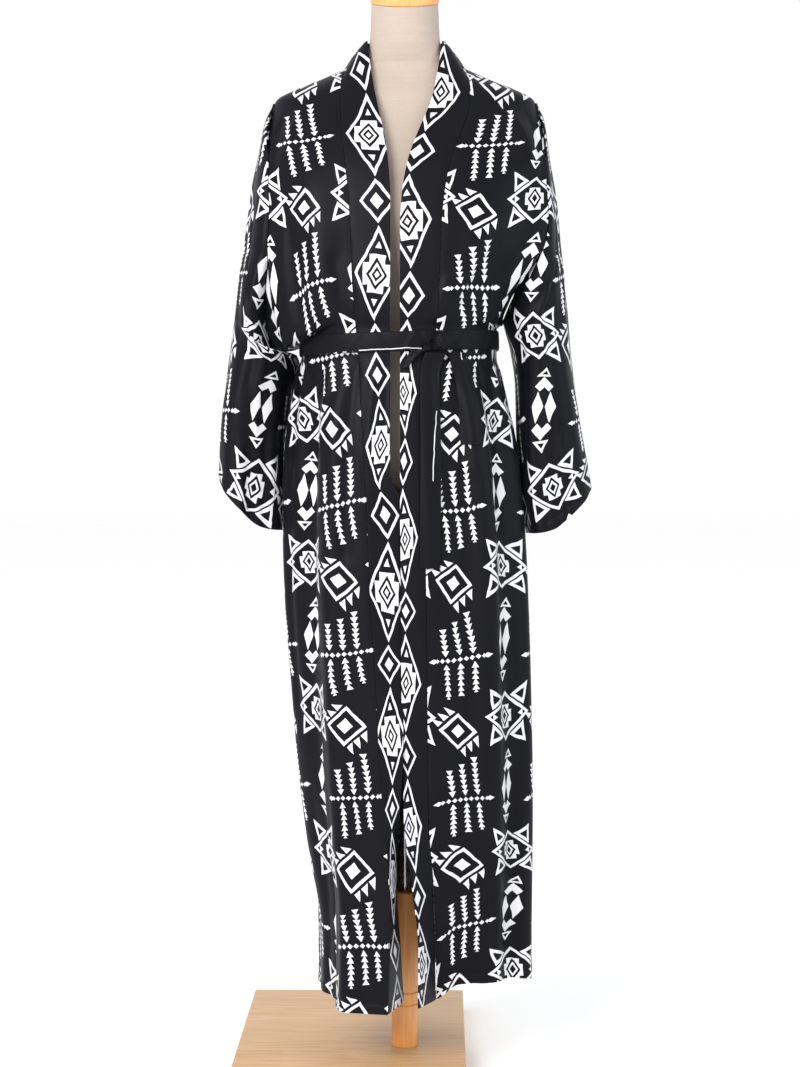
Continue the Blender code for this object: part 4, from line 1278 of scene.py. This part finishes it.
SLEEVE_LEVELS = 1.9
CREASE_FADE = 0.22
SLEEVE_FOLD_COLUMN = 64
SLEEVE_FRONT_COLUMN = 40
LOW_ARMHOLE = 1.130
CUFF_ROWS = [1.0, 0.992, 0.980, 0.968, 0.958, 0.948, 0.938]
SLEEVE_TOP_PRINT = 0.060
SLEEVE_FOLD_PRINT = {-1: 0.003, 1: 0.079}


def sleeve_crease(around, level):
    """Depth of the sleeve's creases: level 0 is the cuff, 1 the underarm, 1.9 the tip."""
    total = np.zeros(np.broadcast(around, level).shape)
    for crease in each_row(SLEEVE_CREASES):
        middle = crease["round_at"] + (crease["far"] - crease["round_at"]) * level / SLEEVE_LEVELS
        reach = ease((level - crease["low"]) / CREASE_FADE) * ease((crease["high"] - level) / CREASE_FADE)
        total = total + crease["depth"] * reach * hump(around - middle, crease["width"])
    return total


def sleeve_upper(side, around, height):
    """Rows of a sleeve above the underarm, open towards the coat at the armhole seam."""
    around, height = np.broadcast_arrays(around, height)
    seam = armhole_angle(height)
    outer = UPPER_AT["outer_" + SIDES[side]](height)
    behind = around > 0.5
    start = cloth(side, np.where(behind, math.pi - seam, seam), height)
    out = np.where(behind, 2 * (1 - around), 2 * around)
    deep = np.maximum(UPPER_AT["depth"](height), np.abs(start[..., 1]))
    first = np.arcsin(np.minimum(1.0, np.abs(start[..., 1]) / deep))
    turn = first + (math.pi - first) * out
    wide = (outer - side * start[..., 0]) / (1 + np.cos(first))
    x = outer - wide - wide * np.cos(turn) + ARMHOLE_EASE * (1 - out)
    y = np.where(behind, 1, -1) * deep * np.sin(turn)
    z = start[..., 2] + (height - start[..., 2]) * out * out
    return np.stack([side * x, y, z], -1)


def sleeve_lower(side, around, drop):
    """Rows of a sleeve below the underarm, closed all round."""
    around, drop = np.broadcast_arrays(around, drop)
    name = SIDES[side]
    inner = LOWER_AT["inner_" + name](drop)
    outer = LOWER_AT["outer_" + name](drop)
    low = LOWER_AT["low_" + name](drop)
    high = LOWER_AT["high_" + name](drop)
    turn = 2 * math.pi * around
    full = 1 + SLEEVE_ROUNDNESS * drop * np.sin(2 * turn) ** 2
    deep = np.where(turn < math.pi, LOWER_AT["front"](drop), LOWER_AT["back"](drop))
    fold = np.zeros(around.shape)
    for row in each_row(SLEEVE_FOLDS):
        fold = fold + row["depth"] * ease(drop / 0.5) * hump(around - row["round_at"], row["width"])
    half = (outer - inner) / 2
    x = (inner + outer) / 2 - (half * full + fold) * np.cos(turn)
    y = -(deep * full + fold) * np.sin(turn)
    y = y + SET_BACK[side] * ease(drop / 0.12) * (1 + np.cos(turn)) / 2
    sweep = 2 + (CUFF_SWEEP - 2) * drop
    z = low + (high - low) * ((1 - np.cos(turn)) / 2) ** sweep
    return np.stack([side * x, y, z], -1)


def make_sleeve(side):
    around = np.linspace(0, 1, 2 * SLEEVE_FOLD_COLUMN + 1)[None, :]
    drops = np.concatenate([CUFF_ROWS, np.linspace(0.925, 0, 72)])[:, None]
    heights = np.linspace(LOW_ARMHOLE, SHOULDER_TIP, 68)[:, None]
    lower = sleeve_lower(side, around, drops)
    plain = sleeve_upper(side, around, heights)
    gap = SEAM / 2 / length_along(plain, 1)[:, -1:]
    upper = sleeve_upper(side, gap + around * (1 - 2 * gap), heights)
    bridge = np.linspace(0, 1, 8)[1:-1]
    between = lower[-1:] + (upper[:1] - lower[-1:]) * bridge[:, None, None]
    grid = np.concatenate([lower, between, upper])
    closed = len(drops)
    levels = [1 - drops[:, 0], np.linspace(1, 1.05, 8)[1:-1]]
    levels.append(np.linspace(1.05, SLEEVE_LEVELS, len(heights)))
    level = np.concatenate(levels)[:, None]
    down = length_along(grid, 0)
    across = length_along(grid, 1)
    edge = np.minimum(around, 1 - around)
    keep = np.where(np.arange(len(grid))[:, None] < closed, ease(edge / 0.02), ease((edge - 0.02) / 0.06))
    keep = keep * ease((SLEEVE_LEVELS - level) / 0.25)
    relief = sleeve_crease(around, level) * keep + hem_relief(down)
    relief = relief + seam_relief(np.minimum(across, across[:, -1:] - across))
    normals = outward_normals(grid, turned=side < 0)
    normals[:closed, 0] = normals[:closed, -1] = normals[:closed, 1] + normals[:closed, -2]
    grid = grid + unit(normals) * relief[..., None]
    across = length_along(grid, 1)
    up = height_up(grid, SLEEVE_FRONT_COLUMN)
    printed = up - up[-1:] + SLEEVE_TOP_PRINT
    from_fold = side * (across - across[:, [SLEEVE_FOLD_COLUMN]])
    cut = np.stack([from_fold + SLEEVE_FOLD_PRINT[side], printed], -1)
    node = f"sleeve_{SIDES[side]}"
    size = flat_size(across, length_along(grid, 0))
    fronts = ["front_left_cloth", "front_right_cloth"]
    shape = {"closed_rows": closed, "turned": side < 0}
    cloth_piece(node, grid, cut, CLOTH_FINISH, CLOTH_THICK, size, "hung", fronts, **shape)


for side in SIDES:
    make_sleeve(side)

# %% [markdown]
# ## The belt
#
# The belt is a strip of the coat's cloth, folded to under 3 cm, and it grips the waist.
# Its section is a flat loop with rounded edges, swept round the waist. Pulled cloth
# never lies quite flat, so short slanting pinches run across it, closer together near
# the knot. A line of the print and a few dashes show along its lower edge.

# %% Belt
# Where the printed line runs along the belt, and where the print starts on its ends
BELT_LINE = (0.3975, 0.4980)
END_PRINT = 2.0
TIE_PRINT = 2.5
# Steps for measuring a direction on the coat, in radians round it and in metres up it
SMALL_TURN = 0.01
SMALL_STEP = 0.002
PINCH_GAIN = 1.7
BELT_CROWN = 0.0005
END_THICK = BELT_CLOTH * 0.8
END_ROWS = 90
LOOP_THICK = 0.0011
LOOP_EDGE = 0.0003


def belt_print(u, v):
    """White where the belt shows the print: a line along its lower edge, and a few dashes."""
    line = (abs(u - 0.0258) - 0.0007).high(v - BELT_LINE[1]).high(BELT_LINE[0] - v)
    dash = (abs(u - 0.0262) - 0.0006).high(abs(v.wrap(0.0150)) - 0.0028)
    dash = dash.high(v - BELT_LINE[0] + 0.010).high(BELT_LINE[0] - 0.075 - v)
    stray = allover_marks(u + 0.030, v + 0.075).high(BELT_LINE[1] + 0.16 - v).high(v - 1.9)
    fall = (abs(u - 0.0350) - 0.0007).high(abs(v - 2.170) - 0.048)
    return line.low(dash).low(stray).low(fall) < 0.0


BELT_FINISH = [printed_cloth("belt cloth", belt_print)]
BELT_PINCHES = table(
    """
    turn slant depth width
    -176 10 0.0006 2.4
    -158 -8 -0.0007 3.0
    -141 12 0.0006 2.6
    -119 -9 -0.0006 3.2
    -104 7 0.0007 2.4
    -83 -12 -0.0006 2.8
    -66 9 0.0006 2.2
    -44 -8 -0.0006 2.6
    -27 8 0.0006 2.2
    -9 -6 -0.0005 2.0
    4 7 0.0006 1.8
    12 -5 -0.0007 1.6
    31 6 -0.0008 1.8
    38 -7 0.0007 2.0
    52 9 -0.0006 2.4
    74 -10 0.0006 2.8
    96 8 -0.0007 2.6
    117 -9 0.0006 3.0
    139 11 -0.0006 2.8
    161 -8 0.0006 2.6
    """
)


def flat_section(width, thick, sides):
    """A flat loop with rounded edges: how far out and how far up each point lies."""
    points = []
    for s in range(sides):
        turn = 2 * math.pi * s / sides
        out = math.copysign(abs(math.cos(turn)) ** 0.35, math.cos(turn)) * thick / 2
        up = math.copysign(abs(math.sin(turn)) ** 0.75, math.sin(turn)) * width / 2
        points.append((out, up))
    return points


def waist_frame(x, away):
    """A point outside the belt zone at x, with its outward and sideways directions."""
    side = -1 if x < 0 else 1
    angle = float(angle_at(side, abs(x), BELT_MIDDLE))
    before, point, after = cloth(side, angle + SMALL_TURN * np.array([-1, 0, 1]), BELT_MIDDLE)
    along = unit((after - before) * side)
    outward = np.cross(along, (0, 0, 1))
    return point + outward * away, outward, along


def waist_points(turns):
    """Points of the waist by their angles in radians, either side of the middle."""
    sided = [cloth(side, np.abs(turns), BELT_MIDDLE) for side in SIDES]
    return np.where(turns[:, None] < 0, sided[0], sided[1])


def round_waist(turns):
    """Points of the waist by their angles, and the ways out from them."""
    along = waist_points(turns + SMALL_TURN) - waist_points(turns - SMALL_TURN)
    return waist_points(turns), unit(np.cross(along, (0, 0, 1)))


def face_outwards(thing):
    """Turns a closed shape's faces outwards."""
    select_only(thing)
    bpy.ops.object.mode_set(mode="EDIT")
    bpy.ops.mesh.select_all(action="SELECT")
    bpy.ops.mesh.normals_make_consistent(inside=False)
    bpy.ops.object.mode_set(mode="OBJECT")


def make_belt():
    columns = 420
    section = flat_section(BELT_HEIGHT, BELT_CLOTH, 22)
    turns = 2 * np.pi * np.arange(columns) / columns - np.pi
    points, outward = round_waist(turns)
    rows = []
    for out, up in section:
        lean = BELT_PINCHES["turn"] + BELT_PINCHES["slant"] * up / BELT_HEIGHT
        away = nearest_turn(np.degrees(turns)[:, None] - lean)
        pinch = PINCH_GAIN * (BELT_PINCHES["depth"] * hump(away, BELT_PINCHES["width"])).sum(1)
        crown = BELT_CROWN * (1 - (2 * up / BELT_HEIGHT) ** 2)
        lift = BELT_REST + BELT_CLOTH / 2 + out + (pinch + crown if out > 0 else 0.0)
        row = points + outward * np.broadcast_to(lift, turns.shape)[:, None]
        row[:, 2] = BELT_MIDDLE + BELT_SLOPE * row[:, 0] + up
        rows.append(row)
    grid = np.array(rows)
    steps = np.linalg.norm(np.diff(grid[0], axis=0), axis=1)
    along = np.concatenate([[0], np.cumsum(steps), [steps.sum() + steps[0]]])
    across = np.array([0.5 * BELT_HEIGHT - up for out, up in section + section[:1]])
    cut = np.stack(np.broadcast_arrays(across[:, None], along[None, :]), -1)
    index = np.pad(np.arange(len(rows) * columns).reshape(-1, columns), (0, 1), mode="wrap")
    quads, flat = quads_of(index, cut)
    belt = new_piece("belt_cloth", grid, quads, BELT_FINISH, flat)
    face_outwards(belt)
    return belt, round(float(along[-1]), 3)


belt, belt_round = make_belt()
print("belt round the waist", belt_round)

# %% [markdown]
# ## The knot, the loop and the two ends
#
# The knot is cloth pulled tight over itself: a small soft block with furrows that run
# into it, and one turn of the belt lying over it. The loop of the tie is a folded flap
# beside it. The ends hang down the front and follow the folds below, so each row of an
# end takes its place from the coat's own surface.

# %% Knot, loop and ends
def make_knot():
    away = BELT_REST + BELT_CLOTH + TOUCH / 2 + KNOT_SIZE[1] / 2
    centre, outward, along = waist_frame(KNOT_X, away)
    centre[2] = BELT_MIDDLE + BELT_SLOPE * KNOT_X
    levels, sides = 44, 64
    tilt = np.linspace(-np.pi / 2, np.pi / 2, levels + 2)[1:-1, None]
    turn = np.linspace(0, 2 * np.pi, sides, endpoint=False)[None, :]

    def power(value):
        return np.sign(value) * np.abs(value) ** 0.65

    a = power(np.cos(tilt)) * power(np.cos(turn))
    b = power(np.cos(tilt)) * power(np.sin(turn))
    c = power(np.sin(tilt)) * np.ones_like(turn)
    wrap_over = ease((0.46 - np.abs(a + 0.18 * c)) / 0.10)
    furrow = 0.08 * np.cos(17 * c + 5 * a) * (1 - wrap_over) * ease(np.abs(a) / 0.5)
    pleat = 0.055 * np.cos(15 * (a + 0.18 * c)) * wrap_over
    swell_by = 1 - 0.16 * (1 - wrap_over) + furrow + pleat
    local = np.stack([a * swell_by, b * (0.90 + 0.10 * wrap_over), c * (0.84 + 0.16 * wrap_over)], -1)
    local = local * np.array(KNOT_SIZE) / 2
    a, b, c = np.split(local, 3, axis=-1)
    grid = centre + a * along - b * outward + c * np.array([0, 0, 1.0])
    faces = ring_faces(levels, sides)
    flat = local.reshape(-1, 3)[:, [0, 2]] + np.array([0.060, TIE_PRINT])
    knot = new_piece("belt_knot_cloth", grid, faces, BELT_FINISH, flat[np.concatenate(faces)])
    face_outwards(knot)
    return knot


def make_loop():
    """The flap of the tie: a strip that leaves the knot, turns over and comes back."""
    length, belly, lean = 0.026, 0.0066, 0.014
    rest = BELT_REST + BELT_CLOTH + 2 * TOUCH + belly / 2
    start_x = KNOT_X - KNOT_SIZE[0] / 2 - TOUCH
    share = np.linspace(0, 1, 26)
    go = np.stack([share, -np.sin(np.pi * share**0.7) / 2], -1)
    back = np.stack([share[::-1], np.sin(np.pi * share[::-1] ** 0.7) / 2], -1)
    path = np.concatenate([go, back[1:]])
    rows = np.linspace(-0.5, 0.5, 11)
    grid = np.zeros((len(rows), len(path), 3))
    for c, (s, out) in enumerate(path):
        top = 0.0020 - 0.0135 * float(ease(s / 0.40)) - 0.0015 * s
        low = -0.0125 - 0.0245 * float(ease(s / 0.70))
        for r, row in enumerate(rows):
            x = start_x - length * s - lean * (0.5 - row) * float(ease(s / 0.30))
            curl = 0.0012 * math.cos(2 * math.pi * row) + 0.0006 * math.sin(9 * s + 5 * row)
            away = rest + out * (belly - 2 * LOOP_THICK) - curl * 0.6
            grid[r, c] = waist_frame(x, away)[0]
            grid[r, c, 2] = BELT_MIDDLE + BELT_SLOPE * x + low + (top - low) * (row + 0.5)
    along = length_along(grid, 1)
    up = length_along(grid, 0)
    cut = np.stack([up, along + TIE_PRINT], -1)
    shape = {"turned": True, "round_edge": LOOP_EDGE}
    loop = add_sheet("belt_loop_cloth", grid, cut, BELT_FINISH, LOOP_THICK, **shape)
    return loop, round(float(along.max()), 3), measured_area(grid)


def make_end(node, path, width, curl):
    """A free end of the belt that hangs on the right front, from the knot downwards."""
    x, heights, lift = np.array(sorted(path, key=lambda row: row[1])).T.copy()
    rows = {"height": heights, "x": x, "lift": lift}
    x_at, lift_at = Profile(rows, "x"), Profile(rows, "lift")
    levels = np.linspace(heights.min(), heights.max(), END_ROWS)[:, None]
    shares = np.linspace(-0.5, 0.5, 13)[None, :]
    angle = angle_at(1, x_at(levels) + shares * width, levels)
    across = cloth(1, angle + SMALL_TURN, levels) - cloth(1, angle - SMALL_TURN, levels)
    up = cloth(1, angle, levels + SMALL_STEP) - cloth(1, angle, levels - SMALL_STEP)
    outward = unit(np.cross(across, up))
    run = np.linspace(0, 1, END_ROWS)[:, None]
    ridge = curl * np.cos(2 * np.pi * shares + 2.2 * run) * (0.6 + 0.4 * np.sin(7 * run + 4 * shares))
    rest = END_REST + BELT_CLOTH + lift_at(levels) + np.maximum(0.0, ridge + curl)
    grid = cloth(1, angle, levels) + outward * rest[..., None]
    up = length_along(grid, 0)
    across = length_along(grid, 1)
    cut = np.stack([across + 0.0135, up + END_PRINT], -1)
    size = flat_size(across, up, (3, 3))
    rests_on = ["front_right_cloth"]
    cloth_piece(node, grid, cut, BELT_FINISH, END_THICK, size, "hung", rests_on, round_edge=BAND_EDGE)


knot = make_knot()
loop, loop_length, loop_area = make_loop()
long_path = [(LONG_END_X, h, 0.0) for h in (0.742, 0.784, 0.850, 0.910, 0.970, 1.010)]
long_path += [(LONG_END_X + 0.003, 1.034, 0.003), (KNOT_X - 0.009, 1.0435, 0.0055)]
short_path = [(0.092, 0.915, 0.0), (0.088, 0.970, 0.0), (0.081, 1.010, 0.0)]
short_path += [(0.073, 1.034, 0.003), (0.0715, 1.0435, 0.0055)]
seat(knot, "belt_knot")
declare(loop, "belt_loop_tie", (BELT_HEIGHT, loop_length), loop_area)
declare(belt, "belt", (BELT_HEIGHT, belt_round), None)
make_end("belt_end_long", long_path, LONG_END_WIDTH, 0.0010)
make_end("belt_end_short", short_path, SHORT_END_WIDTH, 0.0008)

# %% [markdown]
# ## The linen form
#
# The form is a padded body in natural linen, without arms, cut in panels whose seams
# run from the shoulder down and down each side. The section is an ellipse whose two
# depths change with height, so a grid through the same table as the solid gives it,
# only smoother. The seams are shallow grooves. Its finish is a plain weave: two sets
# of threads that cross, with thicker and thinner ones among them.

# %% Linen
LINEN_THREADS = 3900.0


def linen_finish():
    finish = Finish("natural linen", (0.43, 0.36, 0.31), 0.86)
    place = finish.place()
    x, _, z = finish.split(place)
    weave = (x * LINEN_THREADS).math("SINE") * (z * LINEN_THREADS).math("SINE")
    slub = finish.noise(place, 260.0, 3.0, stretch=(0.12, 0.12, 2.2))
    upright = finish.noise(place, 260.0, 3.0, stretch=(2.2, 2.2, 0.12))
    cloud = finish.noise(place, 7.0, 3.0)
    tone = cloud * 0.45 + slub * 0.30 + upright * 0.25
    colour = finish.blend(tone, (0.300, 0.240, 0.196), (0.475, 0.398, 0.342))
    finish.set({"Base Color": colour, "Roughness": tone * 0.12 + 0.80})
    finish.set({"Specular IOR Level": 0.30, "Sheen Weight": 0.10, "Sheen Roughness": 0.60})
    finish.bump(weave * 0.4 + slub + upright, 0.30, 0.0004)
    return finish.material


LINEN = linen_finish()
TORSO_AT = {name: Profile(TORSO, name) for name in TORSO}
FORM_SEAMS = (0, 38, 90, 150, 180, 210, 270, 322)
FORM_CLEAR = 0.0010
FORM_GROOVE = 0.0022
FORM_NECK_SEAM = 1.462
DEGREES_PER_RADIAN = 57.3


def make_form():
    sides = 160
    body_rows = [TORSO["height"][:2], np.linspace(0.858, 1.400, 140), np.linspace(1.402, 1.454, 26)]
    heights = np.concatenate(body_rows + [np.linspace(1.456, NECK_TOP, 46)])
    turn = 2 * np.pi * np.arange(sides) / sides
    tilt = math.tan(NECK_TILT)
    rows = []
    for height in heights:
        row = {name: float(TORSO_AT[name](height)) for name in TORSO}
        dip = 0.0
        for seam in FORM_SEAMS:
            away = nearest_turn(np.degrees(turn) - seam) * row["half_width"] / DEGREES_PER_RADIAN
            dip = dip + 0.0009 * hump(away, FORM_GROOVE)
        dip = dip * ease((FORM_NECK_SEAM - height) / 0.02)
        dip = dip + 0.0010 * hump(height - FORM_NECK_SEAM, FORM_GROOVE)
        deep = np.where(np.cos(turn) > 0, row["front"], row["back"]) - FORM_CLEAR - dip
        x = (row["half_width"] - FORM_CLEAR - dip) * np.sin(turn)
        y = -deep * np.cos(turn)
        rows.append(np.stack([x, y - row["lean"], height + y * tilt * row["tilt"]], -1))
    form = new_piece("linen_form", np.array(rows), ring_faces(len(rows), sides), [LINEN])
    form.data.set_sharp_from_angle(angle=math.radians(50))
    return form


form = make_form()
seat(form, "form_torso")

# %% [markdown]
# ## Turned wood, steel and the board
#
# A lathe makes the pole and the cap, so each starts as a disc that is extruded and
# scaled step by step along its profile, the way a turner reads a drawing. A small
# bevel softens the corners, as sanding does. The tube is turned the same way. The
# board is a box with eased edges, glued up from three wide staves.

# %% Wood and steel finishes
STAVE_WIDTH = 0.157
STAVE_LENGTH = 0.31


def wood_finish(name, light, dark, along, rough):
    """Wood whose grain runs along one axis, 0 for X and 2 for Z."""
    finish = Finish(name, light, rough)
    place = finish.place()
    stretch = [1.0, 1.0, 1.0]
    stretch[along] = 0.06
    fibre = finish.noise(place, 420.0, 4.0, stretch=stretch)
    figure = finish.noise(place, 30.0, 3.0, stretch=stretch)
    cloud = finish.noise(place, 6.0, 2.0)
    rings = (figure * 60.0 + cloud * 9.0).math("SINE") * 0.5 + 0.5
    tone = rings * 0.34 + fibre * 0.30 + cloud * 0.50
    if along == 0:
        x, y, _ = finish.split(place)
        stave = (y * (1 / STAVE_WIDTH) + 0.18).math("FLOOR")
        butt = (x * (1 / STAVE_LENGTH) + stave * 0.43).math("FLOOR")
        shade = (stave * 12.9898).math("SINE") * 0.08
        tone = tone + (shade + (butt * 78.233 + stave * 3.1).math("SINE") * 0.09)
    finish.set({"Base Color": finish.blend(tone, dark, light), "Roughness": fibre * 0.18 + rough})
    finish.set({"Coat Roughness": 0.28, "Coat Weight": 0.18})
    finish.bump(fibre + rings * 0.2, 0.12, 0.0003)
    return finish.material


BOARD_WOOD = wood_finish("board wood", (0.630, 0.398, 0.205), (0.395, 0.205, 0.082), 0, 0.42)
TURNED_WOOD = wood_finish("turned wood", (0.810, 0.375, 0.120), (0.620, 0.245, 0.062), 2, 0.36)


def steel_finish():
    finish = Finish("brushed steel", (0.66, 0.64, 0.62), 0.24, metallic=1.0)
    brushed = finish.noise(finish.place(), 900.0, 3.0, stretch=(1.0, 1.0, 0.03))
    colour = finish.blend(brushed, (0.58, 0.56, 0.54), (0.74, 0.72, 0.70))
    finish.set({"Base Color": colour, "Roughness": brushed * 0.20 + 0.16})
    finish.bump(brushed, 0.10, 0.0002)
    return finish.material


STEEL = steel_finish()


# %% Turning
def turn_profile(name, profile, finish, sides=96, bevel=0.0005):
    """Turns a solid from a profile of radius and height, by extruding a disc."""
    radius, height = profile[0]
    place = (0, 0, height)
    bpy.ops.mesh.primitive_circle_add(vertices=sides, radius=radius, fill_type="NGON", location=place)
    solid = bpy.context.object
    solid.name = name
    solid.data.name = name
    bpy.ops.object.transform_apply(location=True, rotation=True, scale=True)
    bpy.ops.object.mode_set(mode="EDIT")
    bpy.ops.mesh.select_all(action="SELECT")
    for (r0, z0), (r1, z1) in zip(profile, profile[1:]):
        bpy.ops.mesh.extrude_region_move(TRANSFORM_OT_translate={"value": (0, 0, z1 - z0)})
        ratio = r1 / r0
        bpy.ops.transform.resize(value=(ratio, ratio, 1), center_override=(0, 0, z1))
    bpy.ops.mesh.select_all(action="SELECT")
    bpy.ops.mesh.normals_make_consistent(inside=False)
    bpy.ops.object.mode_set(mode="OBJECT")
    solid.data.materials.append(finish)
    soften(solid, "sanded corners", bevel, 3, 35)
    finish_modifiers(solid)
    bpy.ops.object.shade_smooth_by_angle(angle=math.radians(40))
    return solid


GROOVE = 0.0015
GROOVE_MOUTH = 0.0018
GROOVE_FOOT = 0.0005
groove_radius = POLE_RADIUS - GROOVE
pole_line = [(POLE_RADIUS, BOARD_TOP + TOUCH)]
for middle in (0.093, 0.111):
    pole_line += [(POLE_RADIUS, middle - GROOVE_MOUTH), (groove_radius, middle - GROOVE_FOOT)]
    pole_line += [(groove_radius, middle + GROOVE_FOOT), (POLE_RADIUS, middle + GROOVE_MOUTH)]
pole_line += [(POLE_RADIUS, POLE_TOP - 0.002), (POLE_RADIUS - 0.002, POLE_TOP)]
pole = turn_profile("turned_pole", pole_line, TURNED_WOOD)
seat(pole, "form_pole")

tube_line = [(TUBE_RADIUS, POLE_TOP + TOUCH), (TUBE_RADIUS, TORSO_BOTTOM - TOUCH)]
tube = turn_profile("steel_tube", tube_line, STEEL, sides=48, bevel=0.0003)
seat(tube, "form_tube")

cap_line = [(CAP_RADIUS - 0.0015, TOUCH), (CAP_RADIUS, TOUCH + 0.0015), (CAP_RADIUS, 0.0105)]
cap_line += [(CAP_RADIUS - 0.0015, 0.0120), (0.0405, 0.0120), (0.0395, 0.0135), (0.0395, 0.0200)]
cap_line += [(0.0385, 0.0218), (0.0360, 0.0235), (0.0310, 0.0254), (0.0240, 0.0270)]
cap_line += [(0.0170, 0.0279), (0.0100, 0.0285)]
cap = turn_profile("neck_cap_wood", cap_line, TURNED_WOOD, sides=128)
cap.rotation_euler = (NECK_TILT, 0, 0)
cap.location = (0, -float(TORSO["lean"][-1]), NECK_TOP)
select_only(cap)
bpy.ops.object.transform_apply(location=True, rotation=True, scale=True)
seat(cap, "neck_cap")


# %% Board
def make_board():
    centre = ((BOARD_LEFT + BOARD_RIGHT) / 2, (BOARD_FRONT + BOARD_BACK) / 2, BOARD_TOP / 2)
    bpy.ops.mesh.primitive_cube_add(size=1, location=centre)
    board = bpy.context.object
    board.name = "board_wood"
    board.data.name = "board_wood"
    board.scale = (BOARD_RIGHT - BOARD_LEFT, BOARD_BACK - BOARD_FRONT, BOARD_TOP)
    bpy.ops.object.transform_apply(location=True, rotation=True, scale=True)
    board.data.materials.append(BOARD_WOOD)
    soften(board, "eased edges", BOARD_EDGE, 4, 30)
    finish_modifiers(board)
    bpy.ops.object.shade_smooth_by_angle(angle=math.radians(40))
    return board


seat(make_board(), "base_board")

# %% [markdown]
# ## Floor and light
#
# A dark garment with a white print needs a large soft light from the front, so that
# the folds show as slow changes and the white keeps its detail. A second, cooler light
# from the right gives the sides of the sleeves their bluish cast. Floor and background
# are plain and pale.

# %% Stage
bpy.ops.mesh.primitive_plane_add(size=40, location=(0, 0, -0.0005))
floor = bpy.context.object
floor.name = "floor"
floor_finish = Finish("pale floor", (0.985, 0.985, 0.985), 0.95)
floor.data.materials.append(floor_finish.material)

world = bpy.data.worlds.new("soft studio")
world.use_nodes = True
backdrop = world.node_tree.nodes["Background"]
backdrop.inputs["Color"].default_value = (1.0, 1.0, 1.0, 1.0)
backdrop.inputs["Strength"].default_value = 1.0
bpy.context.scene.world = world
bpy.context.scene.view_settings.view_transform = "Standard"


def add_softbox(name, place, target, size, power, colour):
    """A square area light that faces a point."""
    bpy.ops.object.light_add(type="AREA", location=place)
    lamp = bpy.context.object
    lamp.name = name
    lamp.data.size = size
    lamp.data.energy = power
    lamp.data.color = colour
    away = Vector(target) - Vector(place)
    lamp.rotation_euler = away.to_track_quat("-Z", "Y").to_euler()
    return lamp


add_softbox("key light", (-1.7, -3.2, 2.3), (0, 0, 0.9), 1.8, 150, (1.0, 0.985, 0.965))
add_softbox("fill light", (2.6, -1.6, 1.5), (0, 0, 0.9), 1.8, 30, (0.84, 0.92, 1.0))
